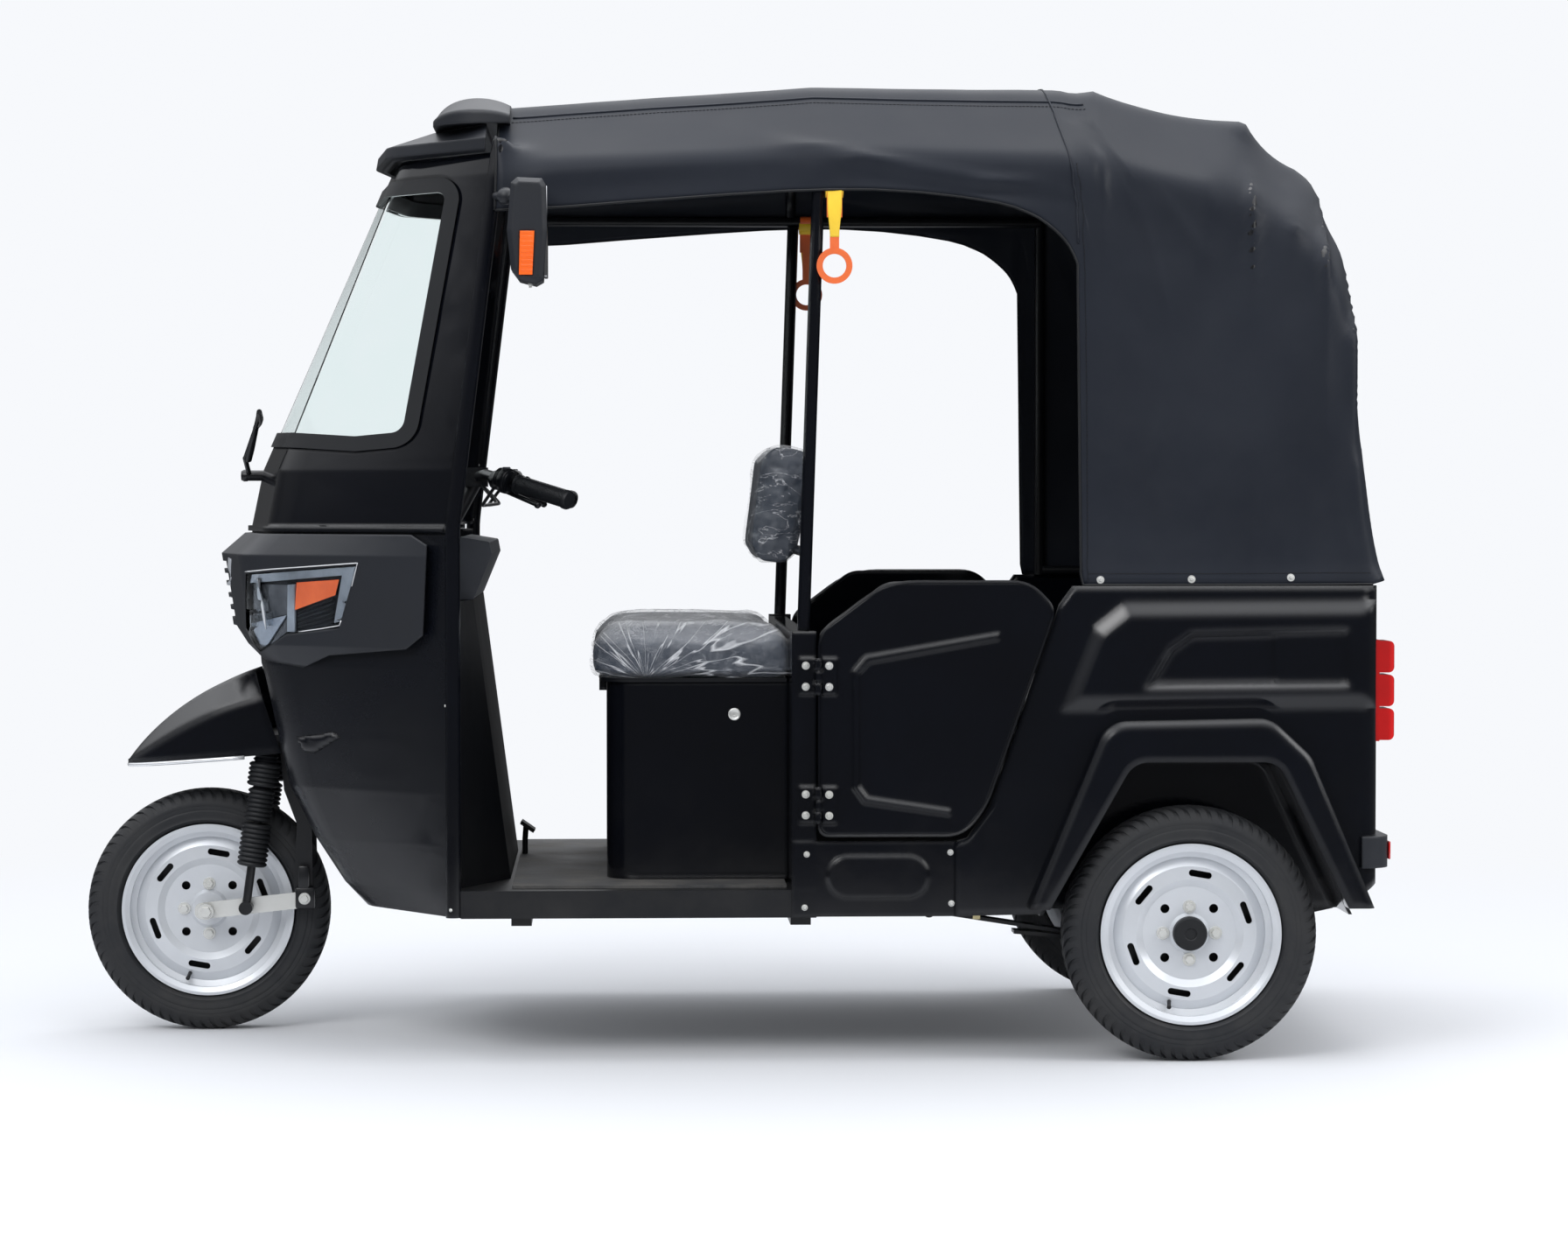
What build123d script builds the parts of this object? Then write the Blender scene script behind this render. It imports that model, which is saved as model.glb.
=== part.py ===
from build123d import *
import math
import os

os.makedirs("parts", exist_ok=True)

# Passenger auto rickshaw, millimetres. +X points to the rear, +Y to the vehicle's right, +Z up.
# The origin is on the ground, midway along the vehicle and on its centre plane.

# Driving dimensions
wheelbase = 1970
tyreRadius = 250
tyreWidth = 104
rearOverhang = 420
rearTrack = 1130
bodyHalf = 600
cabInset = 10
cabHalf = bodyHalf - cabInset
sideTube = 15
sheetWall = 3
panelWall = 22
seatGap = 0.3
floorTop = 339
sillBottom = 285
beltHeight = 932
roofHeight = 1924
steerRake = 28.8
steerTrail = 74

frontX = tyreRadius - (tyreRadius + wheelbase + rearOverhang) / 2
rearX = frontX + wheelbase
tailX = rearX + rearOverhang
noseHalf = cabHalf - sideTube - seatGap
pillarX = rearX - 782


# Points of the front end are given from the front axle, those of the rear from the rear axle
def ahead(points):
    return [(frontX + x, z) for x, z in points]


def aft(points):
    return [(rearX + x, z) for x, z in points]


def outline(points, radius=0):
    if radius == 0:
        return make_face(Polyline(*points, close=True))
    return make_face(FilletPolyline(*points, radius=radius, close=True))


def side_prism(points, yLow, yHigh, radius=0):
    face = Plane.XZ.offset(-yLow) * outline(points, radius)
    return extrude(face, amount=yLow - yHigh)


def plan_prism(points, zLow, zHigh, radius=0):
    return extrude(Plane.XY.offset(zLow) * outline(points, radius), amount=zHigh - zLow)


def cross_prism(points, xLow, xHigh, radius=0):
    return extrude(Plane.YZ.offset(xLow) * outline(points, radius), amount=xHigh - xLow)


def block(xLow, xHigh, yLow, yHigh, zLow, zHigh):
    solid = Box(xHigh - xLow, yHigh - yLow, zHigh - zLow, align=(Align.MIN, Align.MIN, Align.MIN))
    return Pos(xLow, yLow, zLow) * solid


def bar(start, end, radius, bore=0):
    run = Vector(*end) - Vector(*start)
    solid = Cylinder(radius, run.length, align=(Align.CENTER, Align.CENTER, Align.MIN))
    if bore:
        solid -= Cylinder(bore, run.length, align=(Align.CENTER, Align.CENTER, Align.MIN))
    return Plane(origin=start, z_dir=run) * solid


def bent_pipe(points, bend, radius):
    path = FilletPolyline(*points, radius=bend)
    section = Plane(origin=path @ 0, z_dir=path % 0) * Circle(radius)
    return sweep(section, path=path)


def spun_about_y(points, x, y, z):
    # points are (distance out along the axle, radius), axle outwards along +Y
    face = Plane.YZ * make_face(Polyline(*points, close=True))
    return Pos(x, y, z) * revolve(face, Axis.Y)


def mirrored(shape):
    return shape.mirror(Plane.XZ)


def pair(shape):
    return [shape, mirrored(shape)]


def save(name, *shapes):
    solids = []
    for shape in shapes:
        solids.extend(shape.solids())
    export_step(Compound(solids), "parts/" + name + ".step")


# ---------------------------------------------------------------- wheels
beadRadius = 168
rimRadius = 178
rimBarrel = 150
hubRadius = 34
axleRadius = 9
rimFlange = tyreWidth / 2 - 14


def tyre_ring(x, y):
    half = tyreWidth / 2
    profile = [
        (-rimFlange + seatGap, beadRadius),
        (rimFlange - seatGap, beadRadius),
        (rimFlange - seatGap, rimRadius + 1),
        (half - 4, rimRadius + 6),
        (half, beadRadius + 34),
        (half - 2, tyreRadius - 26),
        (half - 12, tyreRadius - 7),
        (half - 30, tyreRadius),
        (-half + 30, tyreRadius),
        (-half + 12, tyreRadius - 7),
        (-half + 2, tyreRadius - 26),
        (-half, beadRadius + 34),
        (-half + 4, rimRadius + 6),
        (-rimFlange + seatGap, rimRadius + 1),
    ]
    return spun_about_y(profile, x, y, tyreRadius)


def rim(x, y, outward, axleBore):
    # Pressed steel rim: flanges, drop-centre barrel, disc with slots, hub boss
    flange = rimFlange
    barrel = [
        (-flange - 8, rimRadius),
        (-flange - 5, rimRadius),
        (-flange, beadRadius - seatGap),
        (-12, beadRadius - seatGap),
        (-8, rimBarrel + 4),
        (14, rimBarrel + 4),
        (18, beadRadius - seatGap),
        (flange, beadRadius - seatGap),
        (flange + 5, rimRadius),
        (flange + 8, rimRadius),
        (flange + 8, rimRadius - 6),
        (flange + 3, beadRadius - 6),
        (22, beadRadius - 6),
        (18, rimBarrel),
        (-12, rimBarrel),
        (-16, beadRadius - 6),
        (-flange - 3, beadRadius - 6),
        (-flange - 8, rimRadius - 6),
    ]
    disc = [
        (10, rimBarrel + 1),
        (14, rimBarrel + 1),
        (24, rimBarrel - 18),
        (27, rimBarrel - 44),
        (18, rimBarrel - 58),
        (16, 40),
        (22, hubRadius),
        (22, 0),
        (-24, 0),
        (-24, hubRadius),
        (12, 40),
        (14, rimBarrel - 58),
        (22, rimBarrel - 46),
        (20, rimBarrel - 20),
    ]
    solid = spun_about_y(barrel, 0, 0, 0) + spun_about_y(disc, 0, 0, 0)
    slot = Plane.XZ * SlotOverall(46, 13)
    for index in range(6):
        angle = math.radians(60 * index + 20)
        place = Pos((rimBarrel - 32) * math.cos(angle), 40, (rimBarrel - 32) * math.sin(angle))
        solid -= place * Rot(0, 90 - math.degrees(angle), 0) * extrude(slot, amount=50)
    for index in range(4):
        angle = math.radians(90 * index + 45)
        place = Pos(68 * math.cos(angle), 40, 68 * math.sin(angle))
        solid -= place * Rot(90, 0, 0) * Cylinder(9, 90)
    boreDepth = 90 if axleBore else 36
    solid -= Pos(0, 0 if axleBore else -10, 0) * Rot(90, 0, 0) * Cylinder(axleRadius + seatGap, boreDepth)
    if outward < 0:
        solid = mirrored(solid)
    return Pos(x, y, tyreRadius) * solid


wheels = [
    # node, x, y, side that the disc faces, bored for a through axle
    ("front", frontX, 0, -1, True),
    ("rear_left", rearX, -rearTrack / 2, -1, False),
    ("rear_right", rearX, rearTrack / 2, 1, False),
]
for name, x, y, outward, axleBore in wheels:
    save(name + "_tyre", tyre_ring(x, y))
    save(name + "_rim", rim(x, y, outward, axleBore))

# ---------------------------------------------------------------- steering: fork, links, shocks
rakeRad = math.radians(steerRake)
axisFootX = frontX - steerTrail


def on_axis(z):
    return (axisFootX + z * math.tan(rakeRad), 0, z)


pivot = (frontX + 201, tyreRadius + 27)
pivotBlock = 24
crownZ = 604
crownTop = crownZ + 14
legIn = 64
legWall = 8
linkIn = legIn + legWall + 1
linkWall = 7
stemRadius = 17
headRadius = 28
headLow = 672
headHigh = 1010
clampZ = 1147
fenderHalf = 132
fenderStations = [
    # x from the axle, half width, hem height, shoulder height, crown height
    (-166, 22, 552, 562, 574),
    (-120, 72, 556, 590, 628),
    (-44, 112, 563, 636, 692),
    (40, fenderHalf, 570, 674, 740),
    (176, fenderHalf, 582, 712, 786),
]


def fender_section(x, half, hem, shoulder, crown, inset):
    flat = half - inset
    foot = hem - (8 if inset else 0)
    points = [
        (-flat, foot),
        (-flat, shoulder - inset),
        (-flat * 0.62, crown - 14 - inset),
        (flat * 0.62, crown - 14 - inset),
        (flat, shoulder - inset),
        (flat, foot),
    ]
    return Plane.YZ.offset(frontX + x) * outline(points)


def fender_hollow(inset):
    rows = [(row[0] + (6 if row[0] < 0 else 0), *row[1:]) for row in fenderStations]
    return loft([fender_section(*row, inset) for row in rows])


legShape = ahead([
    (150, crownZ), (262, crownZ), (252, 520), (216, 430), (218, 300), (224, 277), (200, 254),
    (178, 277), (186, 430), (160, 500),
])
fork = bar(on_axis(crownZ + 1), on_axis(clampZ), stemRadius)
crownHalf = fenderHalf - sheetWall - seatGap
fork += block(frontX + 96, frontX + 292, -crownHalf, crownHalf, crownZ, crownTop)
fork += block(
    frontX + 96, frontX + 174, -fenderHalf - 20, fenderHalf + 20, crownZ, crownTop,
) & fender_hollow(sheetWall + seatGap)
for side in (1, -1):
    leg = side_prism(legShape, legIn, legIn + legWall, 12)
    leg += bar((pivot[0], legIn, pivot[1]), (pivot[0], legIn + legWall, pivot[1]), pivotBlock)
    fork += leg if side > 0 else mirrored(leg)

linkShape = side_prism(
    [
        (pivot[0] + 22, pivot[1] + 16), (frontX - 24, tyreRadius + 16),
        (frontX - 24, tyreRadius - 18), (pivot[0] + 22, pivot[1] - 18),
    ],
    linkIn, linkIn + linkWall, 14,
)
links = bar(
    (frontX, -linkIn - linkWall - 14, tyreRadius), (frontX, linkIn + linkWall + 14, tyreRadius),
    axleRadius,
)
for side in (1, -1):
    arm = linkShape + bar((pivot[0], legIn - 8, pivot[1]), (pivot[0], linkIn + linkWall + 6, pivot[1]), 7)
    links += arm if side > 0 else mirrored(arm)
links += bar((frontX, -linkIn, tyreRadius), (frontX, -30, tyreRadius), 13)
links += bar((frontX, 30, tyreRadius), (frontX, linkIn, tyreRadius), 13)
for side in (1, -1):
    fork -= bar(
        (pivot[0], side * (legIn - 9), pivot[1]), (pivot[0], side * (linkIn + 20), pivot[1]),
        7 + seatGap,
    )
save("fork", fork)
save("front_links", links)

shockY = linkIn + linkWall + seatGap + 20
shockLow = (frontX + 83, shockY, tyreRadius + 9)
shockHigh = (frontX + 130, shockY, crownZ - 4)
shockRun = Vector(*shockHigh) - Vector(*shockLow)


def along_shock(length):
    return tuple(Vector(*shockLow) + shockRun.normalized() * length)


shock = bar(along_shock(0), along_shock(shockRun.length - 16), 9)
boots = [
    # start, end, radius over the ribs
    (88, 175, 24),
    (182, 252, 22),
    (258, 322, 26),
]
ribPitch = 9
ribDepth = 4
bootPlane = Plane(origin=shockLow, z_dir=(shockRun.X, shockRun.Y, shockRun.Z))
for start, end, radius in boots:
    ribs = int((end - start) / ribPitch)
    pitch = (end - start) / ribs
    profile = [(0, start)]
    for index in range(ribs):
        foot = start + index * pitch
        profile += [(radius - ribDepth, foot), (radius, foot + pitch / 2)]
    profile += [(radius - ribDepth, end), (0, end)]
    boot = revolve(Plane.XZ * make_face(Polyline(*profile, close=True)), Axis.Z)
    shock += bootPlane * boot
shock += bar(
    (shockLow[0], linkIn + linkWall + seatGap, shockLow[2]),
    (shockLow[0], shockY + 12, shockLow[2]), 14,
)
shock += bar((shockHigh[0], shockY - 12, crownZ - 20), (shockHigh[0], shockY + 12, crownZ - 20), 14)
save("shocks", *pair(shock))

# ---------------------------------------------------------------- front fender
rearCut = side_prism(ahead([(86, 800), (166, 560), (300, 560), (300, 820)]), -200, 200)
fenderOuter = loft([fender_section(*row, 0) for row in fenderStations])
save("front_fender", fenderOuter - fender_hollow(sheetWall) - rearCut)

# ---------------------------------------------------------------- handlebar
clamp = on_axis(clampZ)
cableRadius = 3.5
gripIn = (frontX + 647, 330, 1132)
gripOut = (frontX + 753, 400, 1099)
barRun = [(clamp[0], 0, clampZ), (frontX + 578, 100, 1152), gripIn, gripOut]
halfBar = bent_pipe(barRun, 30, 11)
grip = bar(gripIn, gripOut, 17)
handlebar = halfBar + mirrored(halfBar) + grip + mirrored(grip)
handlebar += Pos(clamp[0], 0, clampZ) * Box(46, 70, 40)
for side in (1, -1):
    switchBox = bar((frontX + 606, side * 262, 1140), (frontX + 640, side * 320, 1134), 20)
    lever = bar((frontX + 600, side * 262, 1128), (frontX + 690, side * 372, 1090), 5)
    handlebar += switchBox + lever
    cable = [
        (frontX + 604, side * 262, 1130),
        (frontX + 574, side * 205, 1088),
        (clamp[0] + 46, side * 80, 1092),
        (clamp[0] + 6, side * 24, clampZ - 12),
    ]
    handlebar += bent_pipe(cable, 28, cableRadius)
handlebar -= bar(on_axis(clampZ - 80), on_axis(clampZ + 1), stemRadius + seatGap)
save("handlebar", handlebar)

# ---------------------------------------------------------------- nose shell
noseStations = [
    # height, front, rear edge, half width
    (sillBottom, 312, 532, noseHalf),
    (330, 262, 532, noseHalf),
    (420, 196, 531, noseHalf),
    (525, 138, 530, noseHalf),
    (652, 106, 530, noseHalf),
    (770, 78, 529, noseHalf),
    (1036, 84, 529, noseHalf - 4),
]
screenStations = [
    (1046, 84, 529, noseHalf - 4),
    (1160, 108, 541, noseHalf - 8),
    (1738, 366, 605, noseHalf - 36),
    (1778, 384, 612, noseHalf - 38),
]


def wrap_section(height, front, rear, half, inset, spare=0):
    # horizontal section: blunt front, knees, straight sides back to the side tubes
    reach = rear - front
    depth = front + inset
    width = half - inset
    flare = spare * 0.44 * width / (0.84 * reach)
    points = [
        (frontX + rear + spare, -width - flare),
        (frontX + depth + reach * 0.16, -width * 0.56),
        (frontX + depth, 0),
        (frontX + depth + reach * 0.16, width * 0.56),
        (frontX + rear + spare, width + flare),
    ]
    return Plane.XY.offset(height) * outline(points, [0, 130, 300, 130, 0])


def wrap_shell(stations, outside, inside):
    outer = loft([wrap_section(*row, outside) for row in stations], ruled=True)
    core = [wrap_section(*row, inside, 12) for row in stations]
    low = (stations[0][0] - 1, *stations[0][1:])
    high = (stations[-1][0] + 1, *stations[-1][1:])
    core[0] = wrap_section(*low, inside, 12)
    core[-1] = wrap_section(*high, inside, 12)
    return outer - loft(core, ruled=True)


archHalf = 240
archTop = 810
archEdge = [
    (-archHalf, 200), (-archHalf, 740), (-archHalf + 50, archTop), (archHalf - 50, archTop),
    (archHalf, 740), (archHalf, 200),
]
wheelGap = cross_prism(archEdge, frontX - 200, frontX + 420, 30)
nosePanel = wrap_shell(noseStations, 0, sheetWall) - wheelGap
save("nose_panel", nosePanel)

dripLow = noseStations[-1][0] + seatGap
dripHigh = screenStations[0][0] + 1
dripRail = wrap_shell([(dripLow, 76, 512, noseHalf - 4), (dripHigh, 76, 512, noseHalf - 4)], 0, 18)

# Windscreen opening, seen from the side; it wraps round both corners
screenOutline = ahead([(60, 1214), (330, 1196), (452, 1206), (548, 1738), (60, 1738)])
rubberWidth = 30


def screen_cutter(inset):
    face = outline(screenOutline, [0, 60, 60, 46, 0])
    if inset:
        face = offset(face, amount=-inset)
    return extrude(Plane.XZ.offset(noseHalf + 60) * face, amount=-2 * noseHalf - 120)


surround = wrap_shell(screenStations, 0, sheetWall) + dripRail - screen_cutter(0)
spindle = (frontX + 122, -30, 1150)
spindleRadius = 11
surround -= bar(
    (spindle[0] - 60, spindle[1], spindle[2]), (spindle[0] + 60, spindle[1], spindle[2]),
    spindleRadius + seatGap,
)
save("screen_surround", surround)
rubber = wrap_shell(screenStations, -6, 12) & (screen_cutter(seatGap) - screen_cutter(rubberWidth))
save("screen_gasket", rubber)
glass = wrap_shell(screenStations, 2, 7) & screen_cutter(rubberWidth + seatGap)
save("windscreen", glass)

# ---------------------------------------------------------------- headlamp cowl
cowlStations = [
    (752, 108, 500, noseHalf + 1),
    (810, 50, 500, noseHalf + 5),
    (990, 20, 500, noseHalf + 5),
    (1032, 70, 500, noseHalf + 2),
]
cowlOuter = loft([wrap_section(*row, 0) for row in cowlStations], ruled=True)
coreStations = noseStations[4:] + [(1050, *noseStations[-1][1:])]
noseCore = loft([wrap_section(*row, -seatGap, 12) for row in coreStations], ruled=True)
cowlSide = side_prism(
    ahead([
        (-50, 842), (66, 842), (130, 785), (190, 750), (278, 792), (436, 808), (470, 836),
        (478, 1012), (440, 1036), (-50, 1036),
    ]),
    -700, 700,
)
cowl = (cowlOuter & cowlSide) - noseCore - wheelGap
lensSide = ahead([(98, 841), (104, 952), (336, 972), (299, 847), (190, 832), (132, 795)])
amberSide = ahead([(212, 936), (300, 943), (292, 912), (208, 881)])
lensDepth = 14


def cowl_layer(inset):
    return loft([wrap_section(*row, inset) for row in cowlStations], ruled=True)


pocket = side_prism(lensSide, -700, 700) - cowl_layer(lensDepth)
cowl -= pocket
grilleHalf = 96
grilleBars = 5
grillePitch = 25
for index in range(grilleBars):
    low = 858 + index * grillePitch
    slot = block(frontX - 60, frontX + 130, -grilleHalf, grilleHalf, low, low + grillePitch - 9)
    cowl -= slot - cowl_layer(12)
lensBand = cowl_layer(1) - cowl_layer(lensDepth - seatGap)
guideTop = side_prism(
    ahead([(113, 950), (336, 969), (299, 850), (289, 850), (322, 957), (118, 940)]), -700, 700,
)
guideBar = side_prism(ahead([(186, 838), (200, 838), (202, 944), (188, 943)]), -700, 700)
guideBand = cowl_layer(-1.5) - cowl_layer(2)
lensFace = offset(outline(lensSide), amount=-seatGap)
amberFace = offset(outline(amberSide), amount=seatGap)
across = 2 * noseHalf + 120
lensCut = extrude(Plane.XZ.offset(across / 2) * lensFace, amount=-across)
amberCut = extrude(Plane.XZ.offset(across / 2) * amberFace, amount=-across)
save("headlamp_cowl", cowl)
lampGuides = guideBand & (guideTop + guideBar) & lensCut
save("headlamp_units", (lensBand & lensCut) + lampGuides - amberCut)
amberLamps = lensBand & side_prism(amberSide, -across / 2, across / 2)

# ---------------------------------------------------------------- floor and frame
leafWall = 7
leafWidth = 50
axleTube = 28
springY = 397
springPin = 6
eyeFront = (rearX - 500, sillBottom - 6)
eyeRear = (rearX + 312, 296)
shackleZ = sillBottom + 100
floorFront = frontX + 532
floorBack = rearX - 330
railY = 330
frame = Part()
railShape = [
    (frontX + 640, sillBottom - 20), (rearX - 300, sillBottom - 20),
    (rearX - 180, sillBottom + 75), (rearX + 336, sillBottom + 75),
    (rearX + 336, sillBottom + 125), (rearX - 202, sillBottom + 125),
    (rearX - 322, sillBottom + 30), (frontX + 640, sillBottom + 30),
]
for side in (1, -1):
    frame += side_prism(railShape, side * railY - 20, side * railY + 20)
crossMembers = [
    # x, reach to each side, height of the underside
    (frontX + 640, cabHalf - 50, sillBottom - 20),
    (pillarX, cabHalf - 50, sillBottom - 20),
    (rearX - 420, railY, sillBottom - 20),
    (rearX + 296, railY, sillBottom + 75),
]
for x, reach, low in crossMembers:
    frame += block(x, x + 40, -reach, reach, low, low + 50)
for side in (1, -1):
    for x, z in (eyeFront, (eyeRear[0], shackleZ)):
        frame += bar((x, side * railY, z), (x, side * (springY + leafWidth / 2 + 8), z), springPin)
frame += bar(on_axis(headLow), on_axis(headHigh), headRadius)
downTop = on_axis(headLow + 30)
frame += bent_pipe(
    [downTop, (downTop[0] + 175, 0, 620), (frontX + 470, 0, 290), (frontX + 670, 0, 290)], 50, 22,
)
frame -= bar(on_axis(headLow - 10), on_axis(headHigh + 10), stemRadius + seatGap)
save("chassis_frame", frame)

tubHalf = bodyHalf - panelWall - seatGap
floorPan = block(
    floorFront, rearX - 463 - seatGap, -bodyHalf + 4, bodyHalf - 4, sillBottom + 30 + seatGap,
    floorTop,
)
floorPan += block(rearX - 464, floorBack, -tubHalf, tubHalf, sillBottom + 30 + seatGap, floorTop)
for side in (1, -1):
    edge = block(floorFront, pillarX, bodyHalf - 24, bodyHalf - 4, sillBottom, sillBottom + 31)
    floorPan += edge if side > 0 else mirrored(edge)
for side in (1, -1):
    floorPan -= bar(
        (frontX + 529, side * cabHalf, 200), (frontX + 529, side * cabHalf, 400),
        sideTube + seatGap,
    )
save("floor_pan", floorPan)
save(
    "floor_mat",
    block(floorFront + 110, pillarX - 8, -bodyHalf + 50, bodyHalf - 50, floorTop + seatGap, floorTop + 6),
)

# ---------------------------------------------------------------- leg shield and dashboard
shieldHalf = cabHalf - 55
shieldFlat = cabHalf - 260
shieldLow = [
    (frontX + 545, -shieldHalf), (frontX + 634, -shieldFlat), (frontX + 634, shieldFlat),
    (frontX + 545, shieldHalf),
]
shieldHigh = [
    (frontX + 535, -shieldHalf), (frontX + 560, -shieldFlat), (frontX + 560, shieldFlat),
    (frontX + 535, shieldHalf),
]


def shield_section(points, height, inset):
    body = [(x - inset, y) for x, y in points]
    back = [(x - inset - 4, y) for x, y in reversed(points)]
    return Plane.XY.offset(height) * outline(body + back)


shield = loft(
    [shield_section(shieldLow, floorTop + seatGap, 0), shield_section(shieldHigh, 900, 0)],
    ruled=True,
)
save("leg_shield", shield)

dashBox = side_prism(
    ahead([(530, 900 + seatGap), (560, 900 + seatGap), (597, 990), (592, 1016), (530, 1026)]),
    -shieldFlat, shieldFlat, 4,
)
save("dashboard", dashBox)

# ---------------------------------------------------------------- partition, pillars, skirt
columnBack = pillarX + 48
columnTop = 844
columnIn = bodyHalf - 42
partition = block(pillarX, pillarX + 20, -columnIn - 2, columnIn + 2, floorTop, columnTop - 12)
partition += block(pillarX, pillarX + 34, -columnIn - 2, columnIn + 2, columnTop - 34, columnTop - 2)
for side in (1, -1):
    column = block(pillarX, columnBack, columnIn, bodyHalf, sillBottom, columnTop)
    skirt = block(pillarX + 4, rearX - 463, bodyHalf - 3, bodyHalf + 1, sillBottom + 2, 434)
    stamp = Plane.XZ.offset(-bodyHalf) * Pos(rearX - 614, 365) * SlotOverall(200, 84)
    boss = extrude(stamp, amount=-5)
    skirt += chamfer(boss.faces().sort_by(Axis.Y)[-1].edges(), 3)
    partition += (column + skirt) if side > 0 else mirrored(column + skirt)
hingeX = rearX - 731
hingeY = bodyHalf + 20
hingeHeights = [506, 757]
for height in hingeHeights:
    leaf = block(hingeX - 36, hingeX - 4, bodyHalf, bodyHalf + 4, height - 36, height + 36)
    for low, high in ((-36, -12), (12, 36)):
        leaf += bar((hingeX, hingeY, height + low), (hingeX, hingeY, height + high), 6)
        leaf += block(hingeX - 8, hingeX - 4, bodyHalf, hingeY, height + low, height + high)
        leaf += block(hingeX - 8, hingeX, hingeY - 4, hingeY, height + low, height + high)
    leaf += bar((hingeX, hingeY, height - 36), (hingeX, hingeY, height + 36), 3)
    partition += leaf + mirrored(leaf)
partition -= block(pillarX - 10, rearX, -bodyHalf + 3.7, bodyHalf - 3.7, sillBottom - 10, floorTop)
save("partition", partition)

# ---------------------------------------------------------------- driver's seat
seatFront = rearX - 1143
seatHalf = 425
seatTop = 738
boxShape = [
    (seatFront, -seatHalf), (pillarX - seatGap, -seatHalf), (pillarX - seatGap, seatHalf),
    (seatFront, seatHalf),
]
matTop = floorTop + 6 + seatGap
seatBox = plan_prism(boxShape, matTop, seatTop, [70, 0, 0, 70])
innerBox = [
    (seatFront + sheetWall, -seatHalf + sheetWall), (pillarX - 4, -seatHalf + sheetWall),
    (pillarX - 4, seatHalf - sheetWall), (seatFront + sheetWall, seatHalf - sheetWall),
]
seatBox -= plan_prism(innerBox, matTop + sheetWall, seatTop + 1, [67, 0, 0, 67])
seatAxis = (seatFront - 12, seatTop + 4.2)
knuckleRadius = 3.7
knuckle = 24
seatHinges = [-250, 250]
for y in seatHinges:
    seatBox += block(seatAxis[0] - 3, seatFront + 1, y, y + knuckle, seatTop - 24, seatAxis[1])
    seatBox += bar((seatAxis[0], y, seatAxis[1]), (seatAxis[0], y + knuckle, seatAxis[1]), knuckleRadius)
    seatBox += bar((seatAxis[0], y - knuckle, seatAxis[1]), (seatAxis[0], y + 1, seatAxis[1]), 1.6)
save("seat_box", seatBox)
panShape = [
    (seatFront - 12, -seatHalf - 6), (pillarX - 3, -seatHalf - 6), (pillarX - 3, seatHalf + 6),
    (seatFront - 12, seatHalf + 6),
]
seatPan = plan_prism(panShape, seatTop + seatGap, seatTop + 8, [70, 0, 0, 70])
for y in seatHinges:
    seatPan -= block(seatAxis[0] - 10, seatFront + 3, y - 1, y + knuckle + 1, seatTop - 2, seatTop + 12)
    seatPan += bar(
        (seatAxis[0], y - knuckle, seatAxis[1]), (seatAxis[0], y - 1, seatAxis[1]), knuckleRadius,
    )
    seatPan -= bar(
        (seatAxis[0], y - knuckle - 1, seatAxis[1]), (seatAxis[0], y, seatAxis[1]), 1.6 + seatGap,
    )
save("driver_seat_pan", seatPan)
cushionShape = [
    (seatFront - 20, -seatHalf - 14), (pillarX - 4, -seatHalf - 14), (pillarX - 4, seatHalf + 14),
    (seatFront - 20, seatHalf + 14),
]
cushion = plan_prism(cushionShape, seatTop + 8 + seatGap, seatTop + 106, [80, 20, 20, 80])
cushion = fillet(cushion.edges().group_by(Axis.Z)[-1], 45)
save("driver_cushion", cushion)

backShape = aft([(-816, 1221), (-850, 968), (-772, 958), (-712, 1208)])
driverBack = side_prism(backShape, -235, 235, 26)
save("driver_backrest", driverBack)

# ---------------------------------------------------------------- cabin tubes
tubeY = cabHalf
postRadius = 12.5
roofRailZ = roofHeight - 208
railSideY = bodyHalf - 34
tubes = []


def side_tube(side, radius):
    points = [
        (frontX + 529, side * tubeY, sillBottom + 2),
        (frontX + 529, side * tubeY, 1051),
        (frontX + 612, side * (tubeY - 24), 1729),
        (frontX + 622, side * (tubeY - 30), 1800),
    ]
    return bent_pipe(points, [300, 200], radius)


backSlope = math.atan2(-712 + 772, 1208 - 958)
crossRadius = 10
crossX = rearX - 752
crossZ = 958 + ((crossX - rearX + 772) - (crossRadius + seatGap) / math.cos(backSlope)) / math.tan(backSlope)
for side in (1, -1):
    tubes.append(side_tube(side, sideTube))
    postTop = (rearX - 729, side * (railSideY - 4), roofRailZ - 12)
    post = bar((pillarX + 24, side * railSideY, columnTop + 0.5), postTop, postRadius)
    tubes.append(post)
tubes.append(bar((crossX, -railSideY, crossZ), (crossX, railSideY, crossZ), crossRadius))
cabinTubes = tubes[0] + tubes[2] + tubes[1] + tubes[3] + tubes[4]
save("cabin_tubes", cabinTubes)

# ---------------------------------------------------------------- rear body tub
tubEnd = rearX + 372
bodySide = aft([
    (-463, sillBottom + 2), (-463, 432), (-438, 440), (-394, 500), (-258, 896),
    (-232, beltHeight), (rearOverhang, beltHeight), (rearOverhang, 378), (300, 300),
])
archShape = aft([(-340, 200), (-118, 590), (166, 590), (330, 250), (330, 200)])
archBends = [0, 50, 50, 0, 0]
tubFloor = 604
tubCorner = 45


def tub_plan(inset):
    return [
        (rearX - 600, -bodyHalf + inset), (tubEnd - inset, -bodyHalf + inset),
        (tubEnd - inset, bodyHalf - inset), (rearX - 600, bodyHalf - inset),
    ]


def tub_bends(inset):
    return [0, tubCorner - inset, tubCorner - inset, 0]


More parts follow.
